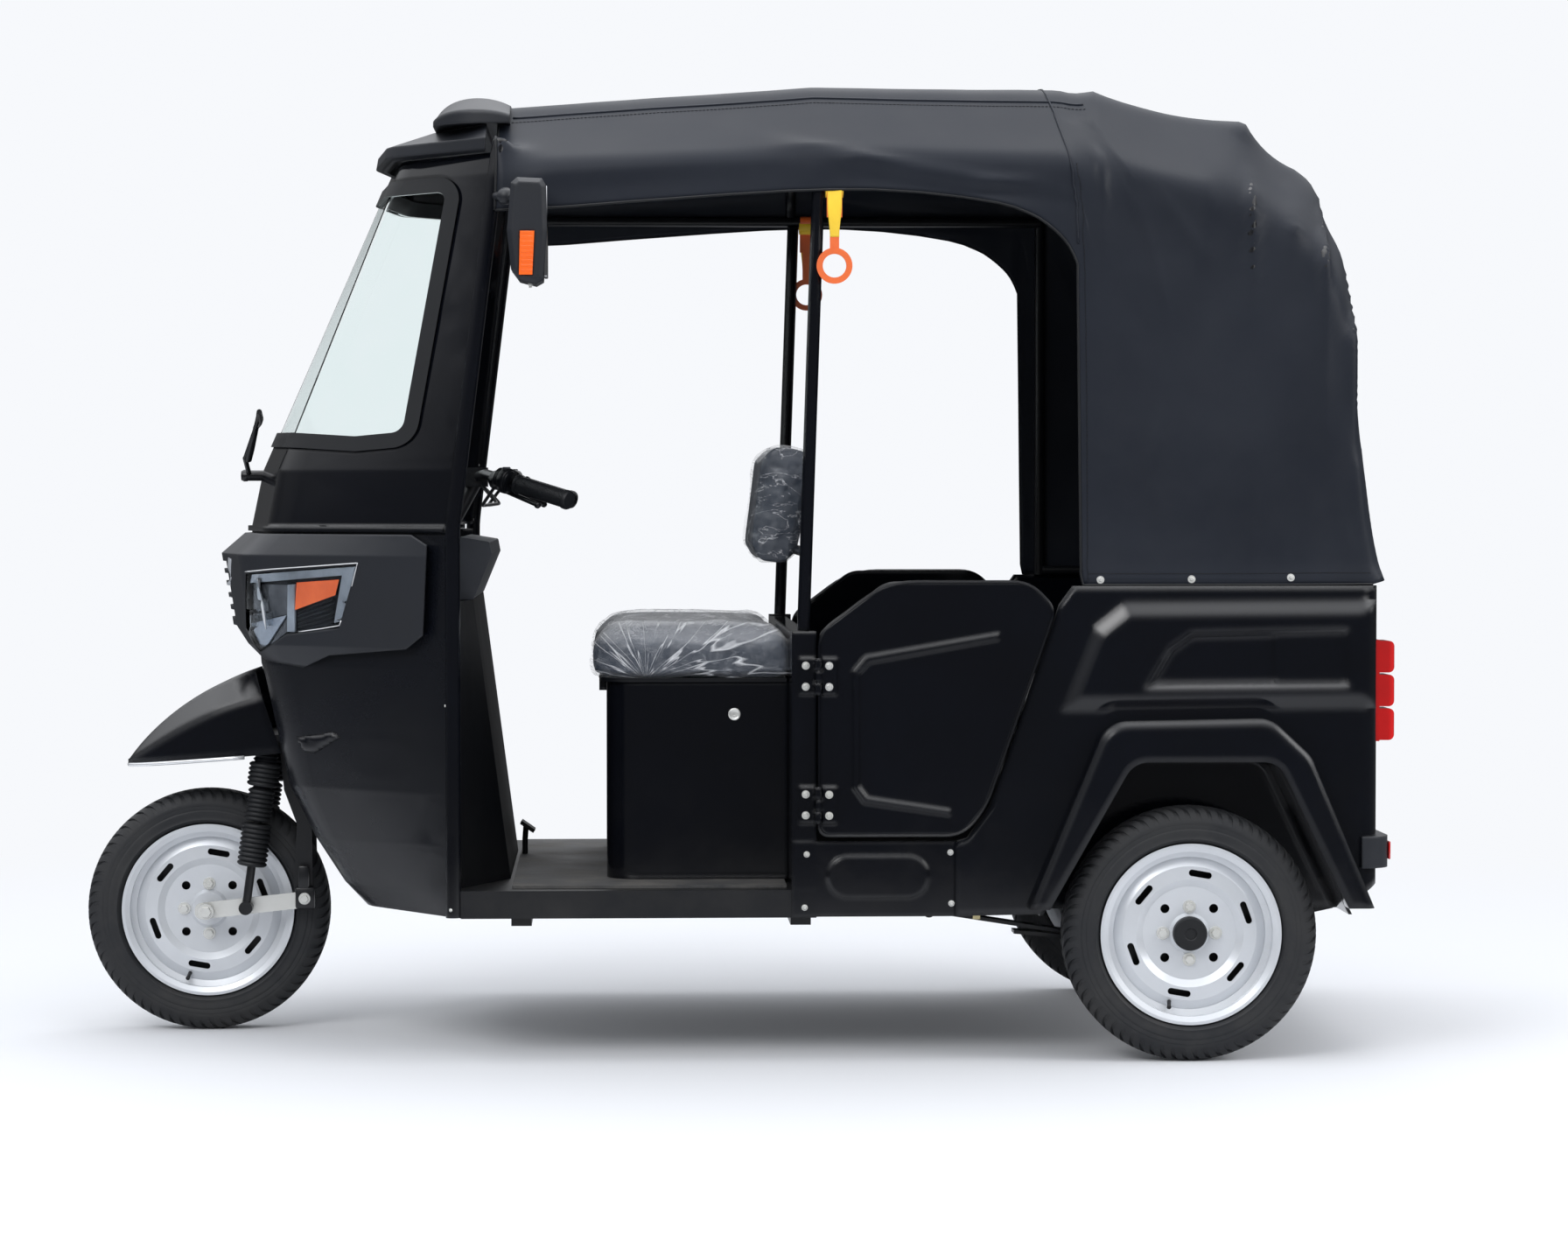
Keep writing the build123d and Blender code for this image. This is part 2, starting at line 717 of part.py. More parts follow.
tub = side_prism(bodySide, -bodyHalf, bodyHalf) & plan_prism(tub_plan(0), 200, 1000, tub_bends(0))
tub -= plan_prism(tub_plan(panelWall), tubFloor + 16, 1000, tub_bends(panelWall))
tub -= plan_prism(tub_plan(panelWall), 200, tubFloor, tub_bends(panelWall))
front = block(rearX - 330, rearX - 312, -bodyHalf + 1, bodyHalf - 1, floorTop + seatGap, tubFloor + 8)
tub += front & side_prism(bodySide, -bodyHalf, bodyHalf)
tub -= block(rearX - 700, rearX - 312.001, -bodyHalf + panelWall, bodyHalf - panelWall, tubFloor - 1, 1100)
linerCore = side_prism(archShape, 460, bodyHalf + 60, archBends)
archRing = offset(outline(archShape, archBends), amount=6)
liners = extrude(Plane.XZ.offset(-455) * archRing, amount=-(bodyHalf - 1 - 455))
for side in (1, -1):
    tub += liners if side > 0 else mirrored(liners)
for side in (1, -1):
    tub -= linerCore if side > 0 else mirrored(linerCore)
tub -= block(rearX - 400, rearX + 400, -700, 700, 100, sillBottom + 2)

# Pressed plateau on each quarter panel, with a pocket and a filler flap in it
swell = 12
swellBevel = 30
pocketBevel = 12
plateauShape = outline(aft([
    (-216, 716), (-168, 836), (-122, 872), (rearOverhang, 876), (rearOverhang, 722),
]))
pocketShape = outline(aft([(-95, 730), (-46, 812), (-2, 843), (309, 850), (311, 733)]))
flapShape = outline(aft([(163, 741), (304, 741), (304, 841), (163, 841)]), 10)


def pressed(face, low, high, grow):
    wide = offset(face, amount=grow, kind=Kind.INTERSECTION) if grow > 0 else face
    slim = offset(face, amount=grow, kind=Kind.INTERSECTION) if grow < 0 else face
    return loft([Plane.XZ.offset(-low) * wide, Plane.XZ.offset(-high) * slim], ruled=True)


swellRing = plan_prism(
    tub_plan(-swell), 600, beltHeight, tub_bends(-swell),
) - plan_prism(tub_plan(1), 590, beltHeight + 1, tub_bends(1))
plateau = pressed(plateauShape, bodyHalf - 1, bodyHalf + swell + 1, swellBevel) & swellRing
pocketFoot = offset(pocketShape, amount=-pocketBevel, kind=Kind.INTERSECTION)
plateau -= pressed(pocketFoot, bodyHalf + swell + 1, bodyHalf + 1, pocketBevel)
plateau += extrude(Plane.XZ.offset(-bodyHalf + 1) * flapShape, amount=-5)
tub += plateau
tub += mirrored(plateau)
save("rear_body", tub)

flareReach = 48
flareRound = 15
flareShape = aft([(-326, 290), (-168, 670), (152, 676), (232, 600), (362, 290)])
flareBand = side_prism(flareShape, bodyHalf + seatGap, bodyHalf + flareReach, [0, 60, 60, 60, 0])
flareFace = flareBand.faces().sort_by(Axis.Y)[-1]
flareBand = fillet(flareFace.edges(), flareRound)
flareCut = side_prism(archShape, bodyHalf - 5, bodyHalf + flareReach + 50, archBends)
trimLow = block(rearX - 400, rearX + 400, bodyHalf - 10, bodyHalf + flareReach + 50, 200, sillBottom + 18)
flare = flareBand - flareCut - trimLow
save("wheel_flares", *pair(flare))

# ---------------------------------------------------------------- doors
doorShape = aft([(-729, 446), (-729, 842), (-598, 941), (-318, 941), (-268, 888), (-404, 500), (-449, 446)])
door = side_prism(doorShape, bodyHalf - 14, bodyHalf + 12, [20, 30, 60, 50, 24, 40, 40])
for height in hingeHeights:
    door += block(hingeX + 8, hingeX + 36, bodyHalf + 11, bodyHalf + 16, height - 36, height + 36)
    door += bar((hingeX, hingeY, height - 11.7), (hingeX, hingeY, height + 11.7), 6)
    door += block(hingeX, hingeX + 12, bodyHalf + 12, bodyHalf + 16, height - 11.7, height + 11.7)
    door -= bar((hingeX, hingeY, height - 12), (hingeX, hingeY, height + 12), 3 + seatGap)
swageTop = [(-377, 843), (-640, 798), (-665, 768)]
swageFoot = [(-665, 538), (-644, 508), (-472, 483)]
swageInner = [(-472, 498), (-634, 523), (-649, 543), (-649, 762), (-630, 781), (-377, 826)]
door += pressed(outline(aft(swageTop + swageFoot + swageInner)), bodyHalf + 11, bodyHalf + 17, -3.5)
save("door_right", door)
save("door_left", mirrored(door))

# ---------------------------------------------------------------- passenger bench
benchHalf = bodyHalf - 40
benchPlan = [
    (rearX - 340, -benchHalf), (rearX + 200, -benchHalf), (rearX + 200, benchHalf),
    (rearX - 340, benchHalf),
]
benchSeat = plan_prism(benchPlan, tubFloor + 16 + seatGap, tubFloor + 116, 30)
benchBackShape = aft([
    (214, tubFloor + 16 + seatGap), (262, tubFloor + 16 + seatGap), (338, 1080), (276, 1080),
])
benchBack = side_prism(benchBackShape, -benchHalf + 30, benchHalf - 30, 20)
save("bench_cushions", fillet(benchSeat.edges().group_by(Axis.Z)[-1], 24), benchBack)
save("battery_pack", block(rearX - 290, rearX + 240, -280, 280, 400, tubFloor - seatGap))

# ---------------------------------------------------------------- rear bumper and lamps
bumperLow = 378
bumperHigh = 440
bumperHalf = bodyHalf + 10
bumperBack = tubEnd + 24


def bumper_plan(back, half):
    return [(rearX + 336, -half), (back, -half), (back, half), (rearX + 336, half)]


bumper = plan_prism(
    bumper_plan(bumperBack, bumperHalf), bumperLow, bumperHigh,
    [0, tubCorner + 13, tubCorner + 13, 0],
)
tubSkin = plan_prism(tub_plan(-seatGap), bumperLow - 10, bumperHigh + 10, tub_bends(-seatGap))
bumper -= tubSkin
save("rear_bumper", bumper)
lampOut = bodyHalf - 90
lampIn = lampOut - 70
lampFoot = 622
lampLobe = 67
lobeRound = 14
lamps = []
for side in (1, -1):
    lamp = block(tubEnd + seatGap, tubEnd + 16, lampIn, lampOut, lampFoot, lampFoot + 3 * lampLobe)
    for index in range(3):
        low = lampFoot + index * lampLobe
        lobe = block(tubEnd + 15, tailX, lampIn + 2, lampOut - 2, low + 2, low + lampLobe - 2)
        lamp += fillet(lobe.faces().sort_by(Axis.X)[-1].edges(), lobeRound)
    reflector = block(
        bumperBack + seatGap, bumperBack + 10, lampIn, lampOut - 10, bumperLow + 12,
        bumperHigh - 10,
    )
    lamps.extend([lamp, reflector] if side > 0 else [mirrored(lamp), mirrored(reflector)])
save("tail_lamps", *lamps)

# ---------------------------------------------------------------- canopy and roof frame
canopyWall = 4
canopyBows = [
    # x, bottom height, half width, shoulder height, half width of the top, top height
    (frontX + 640, roofRailZ - 48, bodyHalf - 16, roofHeight - 184, bodyHalf - 170, roofHeight - 52),
    (rearX - 734, roofRailZ - 16, bodyHalf - 14, roofHeight - 152, bodyHalf - 160, roofHeight),
    (rearX - 177, beltHeight, bodyHalf - 10, roofHeight - 164, bodyHalf - 160, roofHeight - 5),
    (rearX + 134, beltHeight, bodyHalf - 10, roofHeight - 234, bodyHalf - 160, roofHeight - 67),
    (rearX + 281, beltHeight, bodyHalf - 20, roofHeight - 344, bodyHalf - 170, roofHeight - 176),
    (rearX + 335, beltHeight, bodyHalf - 30, roofHeight - 494, bodyHalf - 170, roofHeight - 322),
    (rearX + 368, beltHeight, bodyHalf - 34, roofHeight - 884, bodyHalf - 170, roofHeight - 733),
]


def canopy_section(x, low, half, shoulder, topHalf, top, inset):
    points = [
        (-half + inset, beltHeight + seatGap - inset),
        (-half + inset, shoulder),
        (-topHalf, top - 22 - inset),
        (0, top - inset),
        (topHalf, top - 22 - inset),
        (half - inset, shoulder),
        (half - inset, beltHeight + seatGap - inset),
    ]
    return Plane.YZ.offset(x) * outline(points, [0, 60, 90, 600, 90, 60, 0])


outerSkin = loft([canopy_section(*row, 0) for row in canopyBows], ruled=True)
innerRows = [
    (row[0] - (8 if index == 0 else 0) - (canopyWall if index > 3 else 0), *row[1:])
    for index, row in enumerate(canopyBows)
]
innerSkin = loft([canopy_section(*row, canopyWall) for row in innerRows], ruled=True)
canopy = outerSkin - innerSkin
sideOpening = ahead([(500, 900), (500, 1664), (740, 1668)]) + aft([
    (-994, 1690), (-790, 1702), (-619, 1704), (-448, 1692), (-330, 1664), (-262, 1620),
    (-226, 1540), (-218, 1400), (-217, 900),
])
canopy -= side_prism(sideOpening, -700, 700)
save("canopy", canopy)

roofTube = 11
rails = Part()
for side in (1, -1):
    rails += bar(
        (frontX + 627, side * railSideY, roofRailZ), (rearX - 177, side * railSideY, roofRailZ),
        roofTube,
    )
frameGap = canopyWall + seatGap + roofTube
beltRailZ = beltHeight + seatGap + roofTube
for side in (1, -1):
    beltFront = (rearX - 172, side * (bodyHalf - 36), beltRailZ - 1)
    beltBack = (rearX + 323, side * (bodyHalf - 53), beltRailZ - 1)
    rails += bar(beltFront, beltBack, roofTube - 1)
bows = []
for row in canopyBows[1:6]:
    x, low, half, shoulder, topHalf, top = row
    x -= frameGap if x > rearX else 0
    side = half - frameGap
    foot = roofRailZ if low > beltHeight else beltHeight + seatGap
    points = [
        (x, -side, foot),
        (x, -side, shoulder - 6),
        (x, -topHalf + 10, top - 34 - frameGap),
        (x, topHalf - 10, top - 34 - frameGap),
        (x, side, shoulder - 6),
        (x, side, foot),
    ]
    bows.append(bent_pipe(points, 50, roofTube))
for bow in bows:
    rails += bow
save("roof_frame", rails)

# ---------------------------------------------------------------- visor and roof cap
visorStations = [
    # height, front, rear edge, half width
    (screenStations[-1][0] + seatGap, 372, 592, noseHalf - 30),
    (1783, 348, 594, noseHalf - 12),
    (1805, 352, 594, noseHalf - 12),
    (1812, 374, 594, noseHalf - 28),
    (1836, 452, 594, noseHalf - 84),
]
visorWall = 12
visorCore = [
    wrap_section(row[0] - index - 1, *row[1:], visorWall, 12)
    for index, row in enumerate(visorStations)
]
visorCore[-1] = wrap_section(1822, 420, 594, noseHalf - 62, visorWall, 12)
visor = loft([wrap_section(*row, 0) for row in visorStations], ruled=True) - loft(visorCore, ruled=True)
capBase = visorStations[-1][0] + seatGap
capStations = [
    # x, half width, shoulder height, half width of the top, top height
    (frontX + 486, 420, 1848, 350, 1862),
    (frontX + 503, 462, 1856, 386, 1886),
    (frontX + 535, 496, 1862, 408, 1903),
    (frontX + 575, 512, 1863, 420, 1908),
    (frontX + 612, 517, 1860, 424, 1903),
    (frontX + 640 - seatGap, 518, 1853, 426, 1892),
]


def cap_section(x, half, shoulder, topHalf, top):
    points = [
        (-half, capBase), (-half, shoulder), (-topHalf, top - 14), (0, top), (topHalf, top - 14),
        (half, shoulder), (half, capBase),
    ]
    return Plane.YZ.offset(x) * outline(points, [0, 8, 40, 400, 40, 8, 0])


cap = loft([cap_section(*row) for row in capStations])
save("roof_cap", visor, cap)

# ---------------------------------------------------------------- mirrors, straps, wiper, pedal
mirrorIn = cabHalf + 35
mirrorOut = mirrorIn + 120
mirrorPoints = [
    (647, 1704), (659, 1714), (706, 1712), (714, 1698), (716, 1614), (708, 1519), (694, 1511),
    (662, 1519), (647, 1539), (639, 1614),
]
mirror = side_prism(ahead(mirrorPoints), mirrorIn, mirrorOut)
mirror = chamfer(mirror.faces().sort_by(Axis.Y)[-1].edges(), 9)
armEnd = (frontX + 652, mirrorIn + 6, 1684)
mirrorBall = (frontX + 634, mirrorIn - 12, 1687)
mirror += bar(mirrorBall, armEnd, 8)
mirror += Pos(*mirrorBall) * Sphere(17)
mirrorArm = bar((frontX + 608, tubeY - 22, 1690), mirrorBall, 8.5)
repeaterShape = ahead([(664, 1612), (692, 1612), (688, 1528), (662, 1528)])
mirror -= side_prism([(x, z) for x, z in repeaterShape], mirrorOut - 7, mirrorOut + 10)
repeaterFace = offset(outline(repeaterShape), amount=-seatGap)
repeater = extrude(Plane.XZ.offset(-mirrorOut + 7 - seatGap) * repeaterFace, amount=-10)
mirrorTurn = Pos(*mirrorBall) * Rot(0, 165, 0) * Pos(-mirrorBall[0], -mirrorBall[1], -mirrorBall[2])
tubeBore = side_tube(1, sideTube + seatGap)
nearMirror = mirror + mirrorArm - tubeBore
farMirror = mirrorTurn * mirror + mirrorArm - tubeBore
save("mirrors", mirrored(nearMirror), farMirror)
straps = []
strapX = rearX - 698
for side in (1, -1):
    band = bar(
        (strapX - 15, side * railSideY, roofRailZ), (strapX + 15, side * railSideY, roofRailZ),
        13.3, 11.3,
    )
    hangY = side * (railSideY + 13)
    band += block(strapX - 15, strapX + 15, hangY - 1.2, hangY + 1.2, 1650, roofRailZ)
    band += block(strapX - 9, strapX + 9, hangY - 1.2, hangY + 1.2, 1588, 1651)
    hoop = Pos(strapX, hangY, 1556) * Rot(90, 0, 0) * (Cylinder(35, 5) - Cylinder(23, 10))
    straps.append(band + hoop)
save("hanging_straps", *straps)
wiper = bar((spindle[0] - 40, spindle[1], spindle[2]), spindle, spindleRadius)
wiper += bar((spindle[0] - 34, spindle[1], spindle[2]), (frontX + 84, -90, 1186), 5)
wiper += bar((frontX + 84, -90, 1186), (frontX + 118, -170, 1262), 4)
wiper += bar((frontX + 102, -40, 1248), (frontX + 132, -300, 1276), 5)
save("wiper", wiper)
pedalFoot = (frontX + 652, 180, floorTop + 6 + seatGap)
pedal = bar(pedalFoot, (pedalFoot[0], 180, floorTop + 40), 6)
pedal += bar((pedalFoot[0], 180, floorTop + 38), (pedalFoot[0] + 2, 180, 404), 6)
pedal += Pos(pedalFoot[0] + 6, 180, 404) * Rot(0, 35, 0) * Box(34, 60, 8)
save("brake_pedal", pedal)
save("amber_lenses", *amberLamps.solids(), mirrored(repeater), mirrorTurn * repeater)

# ---------------------------------------------------------------- rear axle
rearAxle = bar((rearX, -505, tyreRadius), (rearX, 505, tyreRadius), 28)
rearAxle += bar((rearX, -80, tyreRadius), (rearX, 90, tyreRadius), 92)
for side in (1, -1):
    rearAxle += bar((rearX, side * 462, tyreRadius), (rearX, side * (rearTrack / 2 - 27), tyreRadius), 80)
    rearAxle += bar(
        (rearX, side * 500, tyreRadius), (rearX, side * (rearTrack / 2 + 7.7), tyreRadius),
        axleRadius,
    )
leafSeat = tyreRadius - axleTube


def leaf_shape(front, rear, drop, rise):
    upper = [(front, rise), (rearX - 190, leafSeat - drop + 12), (rearX, leafSeat - drop), (rear, rise + 6)]
    lower = [(x, z - leafWall) for x, z in reversed(upper)]
    return upper + lower


for side in (1, -1):
    low = side * springY - leafWidth / 2
    high = side * springY + leafWidth / 2
    spring = side_prism(leaf_shape(eyeFront[0], eyeRear[0], 0, eyeFront[1] + 4), low, high)
    spring += side_prism(leaf_shape(rearX - 330, rearX + 220, leafWall, 240), low, high)
    for eye in (eyeFront, eyeRear):
        spring += bar((eye[0], low, eye[1]), (eye[0], high, eye[1]), 13)
    for plateLow, plateHigh in ((low - 6, low - 1), (high + 1, high + 6)):
        spring += block(
            eyeRear[0] - 11, eyeRear[0] + 11, plateLow, plateHigh, eyeRear[1] - 12, shackleZ + 12,
        )
    spring += bar((eyeRear[0], low - 6, eyeRear[1]), (eyeRear[0], high + 6, eyeRear[1]), springPin)
    spring -= bar(
        (eyeFront[0], low - 9, eyeFront[1]), (eyeFront[0], high + 9, eyeFront[1]),
        springPin + seatGap,
    )
    spring -= bar((eyeRear[0], low - 9, shackleZ), (eyeRear[0], high + 9, shackleZ), springPin + seatGap)
    for x in (rearX - 40, rearX + 40):
        spring += block(x - 6, x + 6, low - 4, high + 4, leafSeat - 30, tyreRadius + 34)
    rearAxle += spring
save("rear_axle", rearAxle)
print("built")
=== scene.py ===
import bpy
import bmesh
import math
from mathutils import Matrix, Vector, noise
from mathutils.bvhtree import BVHTree


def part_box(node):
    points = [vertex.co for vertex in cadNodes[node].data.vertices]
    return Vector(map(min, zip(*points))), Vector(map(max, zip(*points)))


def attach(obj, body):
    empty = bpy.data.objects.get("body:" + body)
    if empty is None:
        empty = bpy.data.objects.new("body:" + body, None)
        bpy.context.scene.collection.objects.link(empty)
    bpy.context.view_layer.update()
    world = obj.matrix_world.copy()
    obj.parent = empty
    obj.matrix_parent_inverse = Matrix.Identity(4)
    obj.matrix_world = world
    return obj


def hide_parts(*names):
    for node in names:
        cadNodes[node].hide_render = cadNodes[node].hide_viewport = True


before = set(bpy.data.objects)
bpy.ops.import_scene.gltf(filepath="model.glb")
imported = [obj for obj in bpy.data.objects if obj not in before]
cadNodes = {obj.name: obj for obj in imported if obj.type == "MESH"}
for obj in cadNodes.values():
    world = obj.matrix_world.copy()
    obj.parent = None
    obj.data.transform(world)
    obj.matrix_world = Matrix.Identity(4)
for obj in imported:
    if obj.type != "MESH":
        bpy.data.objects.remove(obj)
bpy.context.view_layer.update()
print("frame loaded:", len(cadNodes), "nodes")

frontX = -1.070  # front axle
rearX = 0.900  # rear axle
wheelZ = 0.250


# ---- small tools
def ahead(x):
    return frontX + x / 1000


def placed(name, data):
    thing = bpy.data.objects.new(name, data)
    bpy.context.scene.collection.objects.link(thing)
    return thing


def meshObject(name, points, faces, material, smooth=True):
    mesh = bpy.data.meshes.new(name)
    mesh.from_pydata([tuple(p) for p in points], [], faces)
    mesh.validate()
    thing = placed(name, mesh)
    if material:
        mesh.materials.append(material)
    return finishMesh(thing, smooth)


def finishMesh(thing, smooth=True, merge=0.00002):
    work = bmesh.new()
    work.from_mesh(thing.data)
    bmesh.ops.remove_doubles(work, verts=work.verts, dist=merge)
    bmesh.ops.recalc_face_normals(work, faces=work.faces)
    work.to_mesh(thing.data)
    work.free()
    for face in thing.data.polygons:
        face.use_smooth = smooth
    return thing


def applyModifiers(thing):
    graph = bpy.context.evaluated_depsgraph_get()
    mesh = bpy.data.meshes.new_from_object(thing.evaluated_get(graph))
    thing.modifiers.clear()
    old = thing.data
    thing.data = mesh
    bpy.data.meshes.remove(old)
    return thing


def softEdges(thing, angle=35):
    for face in thing.data.polygons:
        face.use_smooth = True
    thing.data.set_sharp_from_angle(angle=math.radians(angle))
    return thing


def beveled(thing, width, segments=2, angle=35):
    bevel = thing.modifiers.new("bevel", "BEVEL")
    bevel.width = width
    bevel.segments = segments
    bevel.limit_method = "ANGLE"
    bevel.angle_limit = math.radians(angle)
    applyModifiers(thing)
    return softEdges(thing, 40)


def joined(name, *things):
    work = bmesh.new()
    materials = []
    for thing in things:
        for material in thing.data.materials:
            if material not in materials:
                materials.append(material)
    for thing in things:
        places = [materials.index(m) for m in thing.data.materials]
        mesh = thing.data
        start = len(work.faces)
        work.from_mesh(mesh)
        work.faces.ensure_lookup_table()
        for face in work.faces[start:]:
            face.material_index = places[face.material_index] if places else 0
    mesh = bpy.data.meshes.new(name)
    work.to_mesh(mesh)
    work.free()
    for material in materials:
        mesh.materials.append(material)
    for thing in things:
        bpy.data.objects.remove(thing)
    return placed(name, mesh)


def mirroredCopy(thing, name):
    mesh = thing.data.copy()
    mesh.transform(Matrix.Scale(-1, 4, (0, 1, 0)))
    mesh.flip_normals()
    return placed(name, mesh)


def spun(name, profile, center, axis, material, steps=64):
    # profile: (along the axis, radius); a closed ring profile repeats its first point
    points, faces = [], []
    axis = Vector(axis).normalized()
    side = axis.orthogonal().normalized()
    up = axis.cross(side)
    count = len(profile)
    for step in range(steps):
        angle = 2 * math.pi * step / steps
        out = side * math.cos(angle) + up * math.sin(angle)
        for along, radius in profile:
            points.append(Vector(center) + axis * along + out * radius)
    for step in range(steps):
        a, b = step * count, ((step + 1) % steps) * count
        for index in range(count - 1):
            faces.append((a + index, a + index + 1, b + index + 1, b + index))
    return meshObject(name, points, faces, material)


def tube(name, path, radius, material, sides=12, closed=False, caps=True):
    path = [Vector(p) for p in path]
    radii = radius if isinstance(radius, (list, tuple)) else [radius] * len(path)
    points, faces = [], []
    normal = None
    for index, point in enumerate(path):
        before = path[index - 1] if index or closed else path[0]
        after = path[(index + 1) % len(path)] if index < len(path) - 1 or closed else path[-1]
        run = (after - before).normalized()
        if normal is None:
            normal = run.orthogonal().normalized()
        normal = (normal - run * normal.dot(run)).normalized()
        other = run.cross(normal)
        for k in range(sides):
            angle = 2 * math.pi * k / sides
            points.append(point + (normal * math.cos(angle) + other * math.sin(angle)) * radii[index])
    rings = len(path)
    for ring in range(rings if closed else rings - 1):
        a, b = ring * sides, ((ring + 1) % rings) * sides
        for k in range(sides):
            faces.append((a + k, a + (k + 1) % sides, b + (k + 1) % sides, b + k))
    if caps and not closed:
        faces.append(tuple(range(sides - 1, -1, -1)))
        faces.append(tuple(range((rings - 1) * sides, rings * sides)))
    return meshObject(name, points, faces, material)


def roundedPath(points, radius, steps=6):
    # a polyline whose corners are rounded by short arcs
    points = [Vector(p) for p in points]
    result = [points[0]]
    for before, corner, after in zip(points, points[1:], points[2:]):
        a, b = before - corner, after - corner
        reach = min(radius, a.length * 0.45, b.length * 0.45)
        start, end = corner + a.normalized() * reach, corner + b.normalized() * reach
        for step in range(steps + 1):
            t = step / steps
            result.append(start.lerp(corner, t).lerp(corner.lerp(end, t), t))
    return result + [points[-1]]


def prism(name, outline, low, high, material, axis="Y", bevel=0.0, segments=2):
    # outline: points in the plane across the axis; Y takes (x, z), Z takes (x, y), X takes (y, z)
    place = {
        "Y": lambda a, b, c: (a, c, b), "Z": lambda a, b, c: (a, b, c), "X": lambda a, b,
        c: (c, a, b),
    }[axis]
    count = len(outline)
    points = [place(a, b, low) for a, b in outline] + [place(a, b, high) for a, b in outline]
    faces = [tuple(range(count)), tuple(range(2 * count - 1, count - 1, -1))]
    faces += [(k, (k + 1) % count, count + (k + 1) % count, count + k) for k in range(count)]
    thing = meshObject(name, points, faces, material, smooth=False)
    return beveled(thing, bevel, segments) if bevel else thing


def rounded2d(points, radius, steps=5):
    # a closed outline with its corners rounded
    result = []
    count = len(points)
    for index in range(count):
        before, corner, after = (Vector(points[k % count]) for k in (index - 1, index, index + 1))
        r = radius[index] if isinstance(radius, (list, tuple)) else radius
        a, b = before - corner, after - corner
        reach = min(r, a.length * 0.48, b.length * 0.48)
        if reach <= 0:
            result.append(tuple(corner))
            continue
        start, end = corner + a.normalized() * reach, corner + b.normalized() * reach
        for step in range(steps + 1):
            t = step / steps
            result.append(tuple(start.lerp(corner, t).lerp(corner.lerp(end, t), t)))
    return result


def block(name, low, high, material, bevel=0.0015, segments=2):
    outline = [(low[0], low[1]), (high[0], low[1]), (high[0], high[1]), (low[0], high[1])]
    return prism(name, outline, low[2], high[2], material, "Z", bevel, segments)


def between(a, b, t):
    return a + (b - a) * t


def along(table, x):
    # straight-line reading of a table of (x, value...)
    if x <= table[0][0]:
        return table[0][1:]
    for left, right in zip(table, table[1:]):
        if x <= right[0]:
            t = (x - left[0]) / (right[0] - left[0])
            return tuple(between(a, b, t) for a, b in zip(left[1:], right[1:]))
    return table[-1][1:]


def smoothStep(t):
    t = max(0.0, min(1.0, t))
    return t * t * (3 - 2 * t)


# ---- shader groups
def newGroup(name, inputs, outputs):
    group = bpy.data.node_groups.new(name, "ShaderNodeTree")
    for label, kind, value in inputs:
        socket = group.interface.new_socket(name=label, in_out="INPUT", socket_type=kind)
        if value is not None:
            socket.default_value = value
    for label, kind in outputs:
        group.interface.new_socket(name=label, in_out="OUTPUT", socket_type=kind)
    return group, group.nodes.new("NodeGroupInput"), group.nodes.new("NodeGroupOutput")


def addNode(tree, kind, values=None, **links):
    node = tree.nodes.new(kind)
    for key, value in (values or {}).items():
        if isinstance(key, str) and hasattr(node, key):
            setattr(node, key, value)
        else:
            node.inputs[key].default_value = value
    for key, source in links.items():
        tree.links.new(source, node.inputs[key.replace("_", " ")])
    return node


def math2(tree, operation, a, b=0.5, clamp=False):
    node = tree.nodes.new("ShaderNodeMath")
    node.operation = operation
    node.use_clamp = clamp
    for socket, value in zip(node.inputs, (a, b)):
        if isinstance(value, (int, float)):
            socket.default_value = value
        else:
            tree.links.new(value, socket)
    return node.outputs[0]


def ranged(tree, value, low, high, toLow, toHigh):
    node = tree.nodes.new("ShaderNodeMapRange")
    node.clamp = True
    for key, number in (("From Min", low), ("From Max", high), ("To Min", toLow), ("To Max", toHigh)):
        node.inputs[key].default_value = number
    tree.links.new(value, node.inputs["Value"])
    return node.outputs["Result"]


def makeGrainGroup():
    # pebbled grain of moulded plastic, vinyl and cast rubber
    group, source, result = newGroup(
        "pebbledGrain",
        [
            ("Vector", "NodeSocketVector", None), ("Scale", "NodeSocketFloat", 300.0),
            ("Patch Scale", "NodeSocketFloat", 4.0),
        ],
        [("Height", "NodeSocketFloat"), ("Patches", "NodeSocketFloat")],
    )
    cells = addNode(
        group, "ShaderNodeTexVoronoi", {"feature": "SMOOTH_F1", "Smoothness": 0.6},
        Vector=source.outputs["Vector"], Scale=source.outputs["Scale"],
    )
    fine = addNode(
        group, "ShaderNodeTexNoise", {"Detail": 3.0, "Roughness": 0.6},
        Vector=source.outputs["Vector"], Scale=source.outputs["Scale"],
    )
    patches = addNode(
        group, "ShaderNodeTexNoise", {"Detail": 5.0, "Roughness": 0.62, "Distortion": 0.3},
        Vector=source.outputs["Vector"], Scale=source.outputs["Patch Scale"],
    )
    height = math2(group, "MULTIPLY_ADD", cells.outputs["Distance"], 0.7)
    group.links.new(math2(group, "MULTIPLY", fine.outputs["Fac"], 0.3), height.node.inputs[2])
    group.links.new(height, result.inputs["Height"])
    group.links.new(patches.outputs["Fac"], result.inputs["Patches"])
    return group


